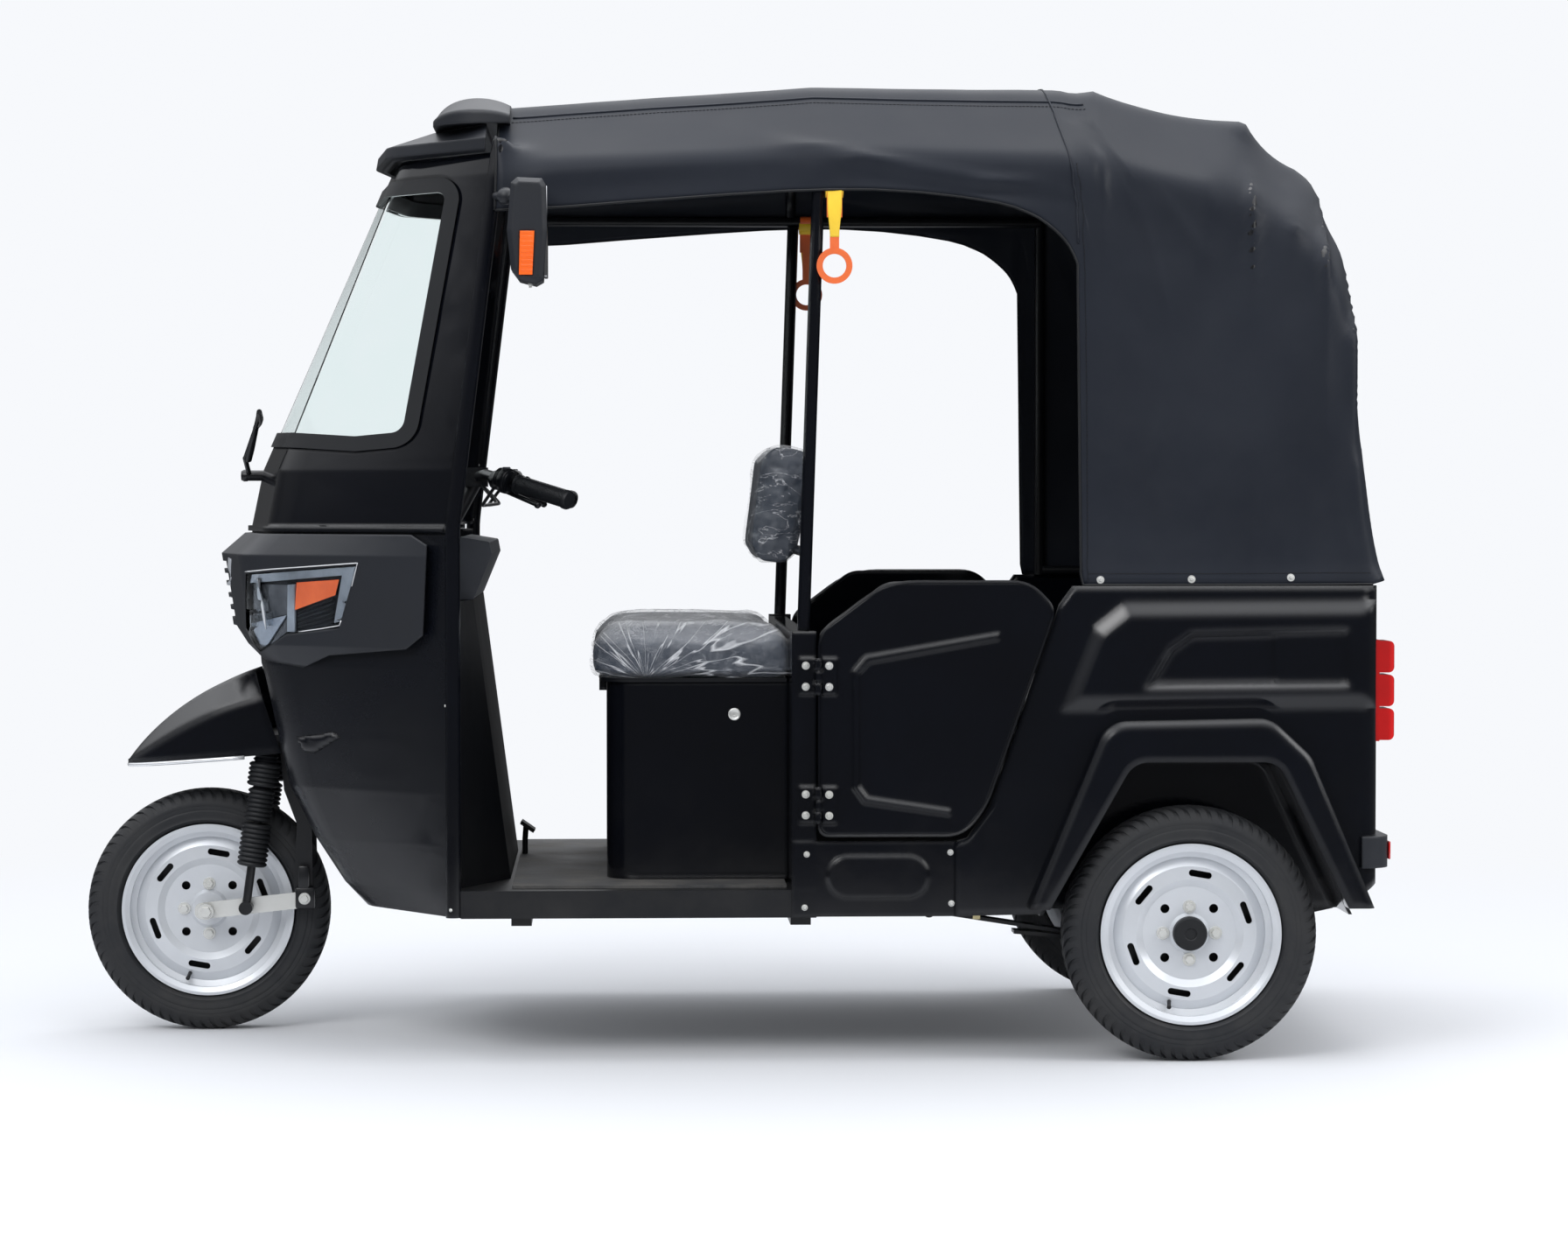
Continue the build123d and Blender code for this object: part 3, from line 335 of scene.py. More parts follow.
def makeDustGroup():
    # road dust: more low down and on faces that look up, broken by noise
    group, source, result = newGroup(
        "roadDust",
        [
            ("Vector", "NodeSocketVector", None), ("Height Fade", "NodeSocketFloat", 0.5),
            ("Amount", "NodeSocketFloat", 0.3),
        ],
        [("Mask", "NodeSocketFloat")],
    )
    parts = addNode(group, "ShaderNodeSeparateXYZ", Vector=source.outputs["Vector"])
    low = math2(group, "DIVIDE", parts.outputs["Z"], source.outputs["Height Fade"])
    low = math2(group, "SUBTRACT", 1.0, low, clamp=True)
    geometry = group.nodes.new("ShaderNodeNewGeometry")
    facing = addNode(group, "ShaderNodeSeparateXYZ", Vector=geometry.outputs["Normal"])
    up = math2(group, "MULTIPLY", math2(group, "MAXIMUM", facing.outputs["Z"], 0.0), 0.35)
    total = math2(group, "ADD", low, up)
    cloud = addNode(
        group, "ShaderNodeTexNoise", {"Scale": 9.0, "Detail": 6.0, "Roughness": 0.65},
        Vector=source.outputs["Vector"],
    )
    spread = ranged(group, cloud.outputs["Fac"], 0.42, 0.72, 0.0, 1.0)
    total = math2(group, "MULTIPLY", total, spread)
    total = math2(group, "MULTIPLY", total, source.outputs["Amount"], clamp=True)
    group.links.new(total, result.inputs["Mask"])
    return group


def makeScuffGroup():
    # fine scuffs that run in every direction, for the roughness of lacquer and plastic
    group, source, result = newGroup(
        "fineScuffs", [("Vector", "NodeSocketVector", None), ("Scale", "NodeSocketFloat", 30.0)],
        [("Mask", "NodeSocketFloat")],
    )
    bend = addNode(
        group, "ShaderNodeTexNoise", {"Scale": 3.0, "Detail": 2.0}, Vector=source.outputs["Vector"],
    )
    mixed = addNode(group, "ShaderNodeVectorMath", {"operation": "ADD"})
    group.links.new(source.outputs["Vector"], mixed.inputs[0])
    group.links.new(bend.outputs["Color"], mixed.inputs[1])
    lines = addNode(
        group, "ShaderNodeTexNoise", {"Detail": 8.0, "Roughness": 0.8, "Lacunarity": 2.6},
        Vector=mixed.outputs["Vector"], Scale=source.outputs["Scale"],
    )
    group.links.new(ranged(group, lines.outputs["Fac"], 0.5, 0.75, 0.0, 1.0), result.inputs["Mask"])
    return group


grainGroup = makeGrainGroup()
dustGroup = makeDustGroup()
scuffGroup = makeScuffGroup()


def surface(
    name, color, rough=(0.3, 0.4), second=None, grain=300.0, bump=0.1, depth=0.0002, patch=4.0,
    dust=0.0, dustFade=0.6, scuff=0.0, stretch=(1, 1, 1), rounded=0.0, **shader,
):
    # colour varies in soft patches between color and second; dust is a pale tan film
    material = bpy.data.materials.new(name)
    material.use_nodes = True
    tree = material.node_tree
    tree.nodes.clear()
    result = tree.nodes.new("ShaderNodeOutputMaterial")
    body = tree.nodes.new("ShaderNodeBsdfPrincipled")
    tree.links.new(body.outputs[0], result.inputs[0])
    coords = tree.nodes.new("ShaderNodeTexCoord").outputs["Object"]
    mapping = addNode(tree, "ShaderNodeMapping", Vector=coords)
    mapping.inputs["Scale"].default_value = stretch
    pebbles = tree.nodes.new("ShaderNodeGroup")
    pebbles.node_tree = grainGroup
    pebbles.inputs["Scale"].default_value = grain
    pebbles.inputs["Patch Scale"].default_value = patch
    tree.links.new(mapping.outputs[0], pebbles.inputs["Vector"])
    second = second or tuple(c * 0.75 for c in color)
    mix = addNode(tree, "ShaderNodeMix", {"data_type": "RGBA"})
    mix.inputs[6].default_value = (*color[:3], 1)
    mix.inputs[7].default_value = (*second[:3], 1)
    tree.links.new(ranged(tree, pebbles.outputs["Patches"], 0.35, 0.65, 0.0, 1.0), mix.inputs[0])
    shade = mix.outputs[2]
    roughness = ranged(tree, pebbles.outputs["Patches"], 0.3, 0.7, rough[0], rough[1])
    if scuff:
        marks = tree.nodes.new("ShaderNodeGroup")
        marks.node_tree = scuffGroup
        tree.links.new(coords, marks.inputs["Vector"])
        roughness = math2(tree, "ADD", roughness, math2(tree, "MULTIPLY", marks.outputs["Mask"], scuff))
    if dust:
        film = tree.nodes.new("ShaderNodeGroup")
        film.node_tree = dustGroup
        film.inputs["Amount"].default_value = dust
        film.inputs["Height Fade"].default_value = dustFade
        tree.links.new(coords, film.inputs["Vector"])
        dusty = addNode(tree, "ShaderNodeMix", {"data_type": "RGBA"})
        dusty.inputs[7].default_value = (0.34, 0.31, 0.27, 1)
        tree.links.new(film.outputs["Mask"], dusty.inputs[0])
        tree.links.new(shade, dusty.inputs[6])
        shade = dusty.outputs[2]
        roughness = math2(
            tree, "ADD", roughness, math2(tree, "MULTIPLY", film.outputs["Mask"], 0.5), clamp=True,
        )
    tree.links.new(shade, body.inputs["Base Color"])
    tree.links.new(roughness, body.inputs["Roughness"])
    if bump:
        raised = addNode(
            tree, "ShaderNodeBump", {"Strength": bump, "Distance": depth},
            Height=pebbles.outputs["Height"],
        )
        if rounded:
            edges = addNode(tree, "ShaderNodeBevel", {"samples": 4, "Radius": rounded})
            tree.links.new(edges.outputs[0], raised.inputs["Normal"])
        tree.links.new(raised.outputs[0], body.inputs["Normal"])
    for key, value in shader.items():
        body.inputs[key.replace("_", " ")].default_value = value
    return material


glossBlack = surface(
    "glossBlack", (0.0032, 0.0038, 0.0060), (0.06, 0.11), second=(0.0026, 0.0030, 0.0046), grain=40,
    bump=0.02, depth=0.0004, patch=3, dust=0.03, scuff=0.04, rounded=0.010, Specular_IOR_Level=0.45,
)
noseBlack = surface(
    "noseBlack", (0.0034, 0.0042, 0.0070), (0.24, 0.32), second=(0.0028, 0.0034, 0.0054), grain=40,
    bump=0.02, depth=0.0004, patch=3, dust=0.02, scuff=0.04, rounded=0.010, Specular_IOR_Level=0.40,
)
flareBlack = surface(
    "flareBlack", (0.0032, 0.0040, 0.0066), (0.06, 0.11), second=(0.0026, 0.0031, 0.0048), grain=40,
    bump=0.02, depth=0.0004, patch=3, dust=0.03, scuff=0.04, rounded=0.020, Specular_IOR_Level=0.5,
)
shieldBlack = surface(
    "shieldBlack", (0.0040, 0.0045, 0.0058), (0.40, 0.50), grain=60, bump=0.03, depth=0.0004,
    patch=3, dust=0.02, Specular_IOR_Level=0.15,
)
satinBlack = surface(
    "satinBlack", (0.0055, 0.0062, 0.0080), (0.28, 0.38), grain=250, bump=0.06, dust=0.05,
    Specular_IOR_Level=0.4,
)
charcoalPlastic = surface(
    "charcoalPlastic", (0.013, 0.015, 0.020), (0.40, 0.50), grain=900, bump=0.22, depth=0.0002,
    dust=0.03, rounded=0.006, Specular_IOR_Level=0.4,
)
blackRubber = surface(
    "blackRubber", (0.0085, 0.0095, 0.0115), (0.45, 0.58), grain=500, bump=0.15, dust=0.02,
    Specular_IOR_Level=0.30,
)
tyreRubber = surface(
    "tyreRubber", (0.011, 0.012, 0.0145), (0.55, 0.70), second=(0.015, 0.016, 0.018), grain=350,
    bump=0.2, patch=9, dust=0.05, dustFade=0.7, Specular_IOR_Level=0.35,
)
silverPaint = surface(
    "silverPaint", (0.60, 0.62, 0.65), (0.30, 0.38), second=(0.55, 0.57, 0.60), grain=1500,
    bump=0.04, depth=0.0001, dust=0.06, dustFade=0.7, Metallic=0.25, Coat_Weight=0.3,
    Coat_Roughness=0.15,
)
zincPlate = surface(
    "zincPlate", (0.70, 0.70, 0.68), (0.22, 0.34), second=(0.60, 0.60, 0.56), grain=400, bump=0.06,
    Metallic=0.45,
)
brassPlate = surface("brassPlate", (0.55, 0.48, 0.27), (0.25, 0.38), grain=400, bump=0.06, Metallic=1.0)
chromePlate = surface("chromePlate", (0.85, 0.86, 0.88), (0.10, 0.16), grain=200, bump=0.01, Metallic=0.5)
canopyVinyl = surface(
    "canopyVinyl", (0.0125, 0.0150, 0.0215), (0.40, 0.52), second=(0.0155, 0.0185, 0.0260),
    grain=700, bump=0.18, depth=0.0003, patch=2.2, dust=0.01, dustFade=3.0, Specular_IOR_Level=0.16,
)
seatVinyl = surface(
    "seatVinyl", (0.030, 0.040, 0.058), (0.36, 0.46), second=(0.022, 0.030, 0.046), grain=600,
    bump=0.3, depth=0.0003,
)
benchVinyl = surface("benchVinyl", (0.022, 0.025, 0.031), (0.40, 0.50), grain=600, bump=0.3, depth=0.0003)
matRubber = surface(
    "matRubber", (0.035, 0.036, 0.038), (0.6, 0.75), second=(0.05, 0.05, 0.05), grain=120, bump=0.8,
    depth=0.0012, patch=8, dust=0.25, dustFade=1.2,
)
amberLens = surface(
    "amberLens", (0.90, 0.15, 0.020), (0.10, 0.18), second=(0.80, 0.11, 0.012), grain=200,
    bump=0.05, Coat_Weight=0.6, Coat_Roughness=0.05,
)
redLens = surface(
    "redLens", (0.62, 0.012, 0.012), (0.10, 0.18), second=(0.5, 0.01, 0.01), grain=200, bump=0.05,
    Coat_Weight=0.6, Coat_Roughness=0.05,
)
orangeStrap = surface("orangeStrap", (0.90, 0.16, 0.03), (0.38, 0.5), grain=500, bump=0.12)
yellowStrap = surface("yellowStrap", (0.95, 0.62, 0.03), (0.45, 0.6), grain=900, bump=0.3)
greyPlastic = surface("greyPlastic", (0.036, 0.040, 0.050), (0.45, 0.55), grain=900, bump=0.2)
lightGuide = surface("lightGuide", (0.40, 0.43, 0.47), (0.25, 0.32), grain=300, bump=0.05)
screenGlass = surface(
    "screenGlass", (0.90, 0.95, 0.94), (0.02, 0.05), second=(0.92, 0.955, 0.95), grain=20, bump=0.0,
    Transmission_Weight=1.0, IOR=1.03,
)
clearLens = surface(
    "clearLens", (0.86, 0.90, 0.94), (0.02, 0.05), grain=20, bump=0.0, Transmission_Weight=1.0,
    IOR=1.12,
)
mirrorGlass = surface("mirrorGlass", (0.85, 0.86, 0.88), (0.01, 0.03), grain=20, bump=0.0, Metallic=1.0)
print("materials made")

finishes = {
    "chassis_frame": satinBlack, "floor_pan": satinBlack, "floor_mat": matRubber, "nose_panel": noseBlack,
    "headlamp_cowl": charcoalPlastic, "headlamp_units": clearLens, "amber_lenses": amberLens,
    "screen_surround": glossBlack, "screen_gasket": blackRubber, "windscreen": screenGlass,
    "roof_cap": charcoalPlastic,
    "cabin_tubes": glossBlack, "roof_frame": satinBlack, "canopy": canopyVinyl, "leg_shield": shieldBlack,
    "dashboard": greyPlastic, "seat_box": glossBlack, "driver_backrest": seatVinyl,
    "partition": glossBlack,
    "rear_body": flareBlack, "wheel_flares": flareBlack, "bench_cushions": benchVinyl,
    "battery_pack": greyPlastic,
    "rear_bumper": charcoalPlastic, "tail_lamps": redLens, "mirrors": charcoalPlastic,
    "hanging_straps": orangeStrap,
    "wiper": satinBlack, "brake_pedal": satinBlack, "rear_axle": satinBlack, "fork": satinBlack,
    "front_links": zincPlate, "shocks": satinBlack, "front_fender": flareBlack, "handlebar": satinBlack,
    "front_tyre": tyreRubber, "front_rim": silverPaint, "rear_left_tyre": tyreRubber,
    "rear_left_rim": silverPaint,
    "rear_right_tyre": tyreRubber, "rear_right_rim": silverPaint, "door_left": glossBlack,
    "door_right": glossBlack,
    "driver_seat_pan": satinBlack, "driver_cushion": seatVinyl,
}
for node, material in finishes.items():
    for slot in cadNodes[node].material_slots:
        slot.material = material
print("CAD nodes painted")


# ---- stage, light, camera
stage = {
    "size": 40.0, "floor": (0.82, 0.83, 0.86), "back": (0.93, 0.945, 0.975), "fill": 0.92,
    "dim": 0.09, "high": 3.0, "fadeFrom": 1.6, "fadeTo": 4.6,
}
lights = {
    # place, target, size, power
    "keySoft": ((-3.2, -5.5, 5.0), (0, 0, 0.9), (3.5, 2.5), 170),
    "overheadSoft": ((0.6, 0.4, 6.0), (0, 0, 1.0), (5.0, 4.0), 105),
    "rearSoft": ((5.5, -2.5, 3.0), (0.6, 0, 1.0), (2.5, 2.5), 90),
}
shot = {"place": (-0.230, -8.580, 1.107), "yaw": 2.3873, "pitch": -1.8225, "lens": 94.23}


def straightRays(tree, path):
    return math2(tree, "MAXIMUM", path.outputs["Is Camera Ray"], path.outputs["Is Transmission Ray"])


def seenRays(tree, path):
    return math2(tree, "MAXIMUM", straightRays(tree, path), path.outputs["Is Glossy Ray"])


def glossyShare(tree, path, source):
    # plain white to the eye; in a reflection the backdrop is dim at the horizon and bright overhead
    coords = tree.nodes.new("ShaderNodeTexCoord")
    parts = addNode(tree, "ShaderNodeSeparateXYZ", Vector=coords.outputs[source])
    height = ranged(
        tree, parts.outputs["Z"], 0.16, 0.85, stage["dim"], stage["high"],
    ) if source == "Generated" else stage["dim"]
    share = addNode(tree, "ShaderNodeMix", {"data_type": "FLOAT"})
    tree.links.new(straightRays(tree, path), share.inputs[0])
    if isinstance(height, float):
        share.inputs[2].default_value = height
    else:
        tree.links.new(height, share.inputs[2])
    share.inputs[3].default_value = 1.0
    return share.outputs[0]


def makeStage():
    half = stage["size"]
    floor = meshObject(
        "studioFloor", [(-half, -half, 0), (half, -half, 0), (half, half, 0), (-half, half, 0)],
        [(0, 1, 2, 3)], None, smooth=False,
    )
    floor.location.z = -0.0005
    material = bpy.data.materials.new("studioFloorPaint")
    material.use_nodes = True
    tree = material.node_tree
    tree.nodes.clear()
    result = tree.nodes.new("ShaderNodeOutputMaterial")
    paint = addNode(tree, "ShaderNodeBsdfPrincipled", {"Base Color": (*stage["floor"], 1), "Roughness": 0.9})
    path = tree.nodes.new("ShaderNodeLightPath")
    far = addNode(
        tree, "ShaderNodeEmission", {"Color": (*stage["back"], 1)},
        Strength=glossyShare(tree, path, "Object"),
    )
    coords = tree.nodes.new("ShaderNodeTexCoord")
    flat = addNode(tree, "ShaderNodeVectorMath", {"operation": "LENGTH"})
    tree.links.new(coords.outputs["Object"], flat.inputs[0])
    away = ranged(tree, flat.outputs["Value"], stage["fadeFrom"], stage["fadeTo"], 0.0, 1.0)
    blend = tree.nodes.new("ShaderNodeMixShader")
    tree.links.new(math2(tree, "MULTIPLY", away, seenRays(tree, path)), blend.inputs[0])
    tree.links.new(paint.outputs[0], blend.inputs[1])
    tree.links.new(far.outputs[0], blend.inputs[2])
    tree.links.new(blend.outputs[0], result.inputs[0])
    floor.data.materials.append(material)
    world = bpy.data.worlds.new("studioWorld")
    bpy.context.scene.world = world
    world.use_nodes = True
    tree = world.node_tree
    tree.nodes.clear()
    result = tree.nodes.new("ShaderNodeOutputWorld")
    soft = addNode(tree, "ShaderNodeBackground", {"Color": (0.93, 0.96, 1.0, 1), "Strength": stage["fill"]})
    path = tree.nodes.new("ShaderNodeLightPath")
    shown = addNode(
        tree, "ShaderNodeBackground", {"Color": (*stage["back"], 1)},
        Strength=glossyShare(tree, path, "Generated"),
    )
    mix = tree.nodes.new("ShaderNodeMixShader")
    tree.links.new(seenRays(tree, path), mix.inputs[0])
    tree.links.new(soft.outputs[0], mix.inputs[1])
    tree.links.new(shown.outputs[0], mix.inputs[2])
    tree.links.new(mix.outputs[0], result.inputs[0])


def areaLight(name, place, target, size, power):
    data = bpy.data.lights.new(name, "AREA")
    data.shape = "RECTANGLE"
    data.size, data.size_y = size
    data.energy = power
    lamp = placed(name, data)
    lamp.location = place
    lamp.rotation_euler = (Vector(target) - Vector(place)).to_track_quat("-Z", "Y").to_euler()


def makeCamera():
    data = bpy.data.cameras.new("shopCamera")
    data.sensor_width = 36
    data.lens = shot["lens"]
    data.clip_end = 100
    camera = placed("shopCamera", data)
    camera.location = shot["place"]
    camera.rotation_euler = (math.radians(90) + math.radians(shot["pitch"]), 0, -math.radians(shot["yaw"]))
    bpy.context.scene.camera = camera


makeStage()
for name, values in lights.items():
    areaLight(name, *values)
makeCamera()
bpy.context.scene.view_settings.view_transform = "Standard"
print("stage set")


# ---- geometry nodes trees
def geometryTree(name, inputs):
    tree = bpy.data.node_groups.new(name, "GeometryNodeTree")
    for label, kind, value in inputs:
        socket = tree.interface.new_socket(name=label, in_out="INPUT", socket_type=kind)
        if value is not None:
            socket.default_value = value
    tree.interface.new_socket(name="Geometry", in_out="OUTPUT", socket_type="NodeSocketGeometry")
    return tree, tree.nodes.new("NodeGroupInput"), tree.nodes.new("NodeGroupOutput")


def endTree(tree, source, result, geometry):
    # every tree ends in real faces with one material
    real = addNode(tree, "GeometryNodeRealizeInstances", Geometry=geometry)
    paint = addNode(
        tree, "GeometryNodeSetMaterial", Geometry=real.outputs[0],
        Material=source.outputs["Material"],
    )
    tree.links.new(paint.outputs[0], result.inputs[0])


def makeFastenerTree():
    # a washer and a domed or six-sided head on each point, standing along its "facing"
    tree, source, result = geometryTree(
        "fastenersOnPoints",
        [
            ("Geometry", "NodeSocketGeometry", None), ("Head Radius", "NodeSocketFloat", 0.006),
            ("Head Height", "NodeSocketFloat", 0.004), ("Top Share", "NodeSocketFloat", 0.6),
            ("Washer Radius", "NodeSocketFloat", 0.009),
            ("Washer Height", "NodeSocketFloat", 0.0015), ("Sides", "NodeSocketInt", 20),
            ("Material", "NodeSocketMaterial", None),
        ],
    )
    top = math2(tree, "MULTIPLY", source.outputs["Head Radius"], source.outputs["Top Share"])
    head = addNode(
        tree, "GeometryNodeMeshCone", Vertices=source.outputs["Sides"], Radius_Top=top,
        Radius_Bottom=source.outputs["Head Radius"], Depth=source.outputs["Head Height"],
    )
    washerTop = math2(tree, "MULTIPLY", source.outputs["Washer Radius"], 0.94)
    washer = addNode(
        tree, "GeometryNodeMeshCone", {"Vertices": 20}, Radius_Top=washerTop,
        Radius_Bottom=source.outputs["Washer Radius"], Depth=source.outputs["Washer Height"],
    )
    lift = addNode(tree, "ShaderNodeCombineXYZ", Z=source.outputs["Washer Height"])
    raised = addNode(tree, "GeometryNodeTransform", Geometry=head.outputs[0], Translation=lift.outputs[0])
    both = tree.nodes.new("GeometryNodeJoinGeometry")
    tree.links.new(raised.outputs[0], both.inputs[0])
    tree.links.new(washer.outputs[0], both.inputs[0])
    facing = addNode(tree, "GeometryNodeInputNamedAttribute", {"data_type": "FLOAT_VECTOR", "Name": "facing"})
    turn = addNode(tree, "FunctionNodeAlignRotationToVector", {"axis": "Z"}, Vector=facing.outputs[0])
    spots = addNode(
        tree, "GeometryNodeInstanceOnPoints", Points=source.outputs["Geometry"],
        Instance=both.outputs[0], Rotation=turn.outputs[0],
    )
    endTree(tree, source, result, spots.outputs[0])
    return tree


def makeRingTree():
    # copies of a piece turned round the Y axis, then moved to the wheel's centre
    tree, source, result = geometryTree(
        "piecesRoundAxle",
        [
            ("Geometry", "NodeSocketGeometry", None), ("Count", "NodeSocketInt", 12),
            ("Start Angle", "NodeSocketFloat", 0.0), ("Center", "NodeSocketVector", None),
            ("Material", "NodeSocketMaterial", None),
        ],
    )
    points = addNode(tree, "GeometryNodePoints", Count=source.outputs["Count"])
    number = tree.nodes.new("GeometryNodeInputIndex")
    share = math2(tree, "DIVIDE", number.outputs[0], source.outputs["Count"])
    angle = math2(tree, "MULTIPLY_ADD", share, 2 * math.pi)
    tree.links.new(source.outputs["Start Angle"], angle.node.inputs[2])
    turn = addNode(tree, "ShaderNodeCombineXYZ", Y=angle)
    spots = addNode(
        tree, "GeometryNodeInstanceOnPoints", Points=points.outputs[0],
        Instance=source.outputs["Geometry"], Rotation=turn.outputs[0],
    )
    real = addNode(tree, "GeometryNodeRealizeInstances", Geometry=spots.outputs[0])
    moved = addNode(
        tree, "GeometryNodeTransform", Geometry=real.outputs[0],
        Translation=source.outputs["Center"],
    )
    endTree(tree, source, result, moved.outputs[0])
    return tree


def makeStitchTree():
    # thread stitches at an even pitch along a path
    tree, source, result = geometryTree(
        "stitchesOnPath",
        [
            ("Geometry", "NodeSocketGeometry", None), ("Pitch", "NodeSocketFloat", 0.006),
            ("Length", "NodeSocketFloat", 0.0042), ("Thread", "NodeSocketFloat", 0.0006),
            ("Material", "NodeSocketMaterial", None),
        ],
    )
    curve = addNode(tree, "GeometryNodeMeshToCurve", Mesh=source.outputs["Geometry"])
    even = addNode(
        tree, "GeometryNodeResampleCurve", {"mode": "LENGTH"}, Curve=curve.outputs[0],
        Length=source.outputs["Pitch"],
    )
    tangent = tree.nodes.new("GeometryNodeInputTangent")
    turn = addNode(tree, "FunctionNodeAlignRotationToVector", {"axis": "Z"}, Vector=tangent.outputs[0])
    thread = addNode(
        tree, "GeometryNodeMeshCylinder", {"Vertices": 6}, Radius=source.outputs["Thread"],
        Depth=source.outputs["Length"],
    )
    spots = addNode(
        tree, "GeometryNodeInstanceOnPoints", Points=even.outputs[0], Instance=thread.outputs[0],
        Rotation=turn.outputs[0],
    )
    endTree(tree, source, result, spots.outputs[0])
    return tree


def nodesMade(name, mesh, tree, values):
    # the tree's result as a plain mesh, its modifier gone
    thing = placed(name, mesh)
    modifier = thing.modifiers.new("nodes", "NODES")
    modifier.node_group = tree
    for item in tree.interface.items_tree:
        if item.item_type == "SOCKET" and item.in_out == "INPUT" and item.name in values:
            modifier[item.identifier] = values[item.name]
    applyModifiers(thing)
    return softEdges(thing, 40)


heads = {
    # head radius and height, its top's share, washer radius and height, sides
    "wheelNut": (0.0095, 0.0085, 0.86, 0.0135, 0.0028, 6),
    "axleNut": (0.0125, 0.0090, 0.86, 0.0170, 0.0020, 6),
    "linkBolt": (0.0085, 0.0060, 0.86, 0.0125, 0.0015, 6),
    "hingeBolt": (0.0052, 0.0036, 0.72, 0.0080, 0.0014, 18),
    "skirtScrew": (0.0050, 0.0030, 0.6, 0.0062, 0.0010, 16),
    "hemScrew": (0.0045, 0.0028, 0.6, 0.0078, 0.0012, 16),
    "tubeScrew": (0.0030, 0.0016, 0.6, 0.0036, 0.0004, 12),
}


def fasteners(name, spots, body, kind):
    # spots: (x, y, z) and the way each head faces
    mesh = bpy.data.meshes.new(name)
    mesh.from_pydata([tuple(place) for place, facing in spots], [], [])
    facing = mesh.attributes.new("facing", "FLOAT_VECTOR", "POINT")
    facing.data.foreach_set("vector", [value for place, way in spots for value in way])
    labels = ("Head Radius", "Head Height", "Top Share", "Washer Radius", "Washer Height", "Sides")
    thing = nodesMade(name, mesh, fastenerTree, {"Material": zincPlate, **dict(zip(labels, heads[kind]))})
    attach(thing, body)
    return thing


def stitched(name, path, material, body, pitch=0.006):
    mesh = bpy.data.meshes.new(name)
    mesh.from_pydata([tuple(p) for p in path], [(k, k + 1) for k in range(len(path) - 1)], [])
    thing = nodesMade(name, mesh, stitchTree, {"Pitch": pitch, "Length": pitch * 0.68, "Material": material})
    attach(thing, body)
    return thing


def ringOf(name, piece, count, center, material, startAngle=0.0):
    mesh = piece.data.copy()
    bpy.data.objects.remove(piece)
    return nodesMade(
        name, mesh, ringTree,
        {"Count": count, "Start Angle": startAngle, "Center": Vector(center), "Material": material},
    )


fastenerTree = makeFastenerTree()
ringTree = makeRingTree()
stitchTree = makeStitchTree()


# ---- laying things on the CAD's skin
def skinOf(*nodes):
    work = bmesh.new()
    for node in nodes:
        work.from_mesh(cadNodes[node].data)
    tree = BVHTree.FromBMesh(work)
    work.free()
    return tree


def onSkin(skin, x, z, lift=0.0, start=-0.95):
    # the point of a skin that is seen from the near side at x, z
    hit, normal, index, distance = skin.ray_cast(Vector((x, start, z)), Vector((0, 1, 0)))
    if hit is None or hit.y > -0.02:
        hit, normal, index, distance = skin.find_nearest(Vector((x, -0.45, z)))
    if normal.y > 0:
        normal = -normal
    return hit + normal * lift, normal


def skinPatch(name, outline, skin, lift, thick, material, step=0.012, bevel=0.0, lifts=None):
    # a plate cut to an outline of (x, z) and laid on a curved skin
    work = bmesh.new()
    work.faces.new([work.verts.new((x, 0, z)) for x, z in outline])
    for axis in (0, 2):
        values = [point[axis // 2] for point in outline]
        cut = min(values) + step
        while cut < max(values) - step * 0.3:
            place, facing = [0, 0, 0], [0, 0, 0]
            place[axis], facing[axis] = cut, 1
            bmesh.ops.bisect_plane(
                work, geom=work.verts[:] + work.edges[:] + work.faces[:], plane_co=place,
                plane_no=facing,
            )
            cut += step
    bmesh.ops.triangulate(work, faces=[face for face in work.faces if len(face.verts) > 4])
    rim = {vert for edge in work.edges if edge.is_boundary for vert in edge.verts}
    inner = {}
    for vert in work.verts:
        raised = lift if lifts is None else lift + (0 if vert in rim else lifts)
        point, normal = onSkin(skin, vert.co.x, vert.co.z, raised)
        vert.co = point
        inner[vert] = point - normal * (thick + raised - lift)
    top = work.faces[:]
    bmesh.ops.recalc_face_normals(work, faces=top)
    if sum(face.normal.y for face in top) > 0:
        bmesh.ops.reverse_faces(work, faces=top)
    lower = {vert: work.verts.new(place) for vert, place in inner.items()}
    border = [edge for edge in work.edges if edge.is_boundary]
    for edge in border:
        loop = edge.link_loops[0]
        a, b = loop.vert, loop.link_loop_next.vert
        work.faces.new((b, a, lower[a], lower[b]))
    for face in top:
        work.faces.new([lower[vert] for vert in reversed(face.verts)])
    mesh = bpy.data.meshes.new(name)
    work.to_mesh(mesh)
    work.free()
    mesh.materials.append(material)
    thing = placed(name, mesh)
    if bevel:
        return beveled(thing, bevel, 2, 50)
    return softEdges(thing, 40)


def bothSides(name, thing, body):
    # the near piece and its mirror image as one
    both = joined(name, thing, mirroredCopy(thing, name + "Far"))
    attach(both, body)
    return both


print("trees made")


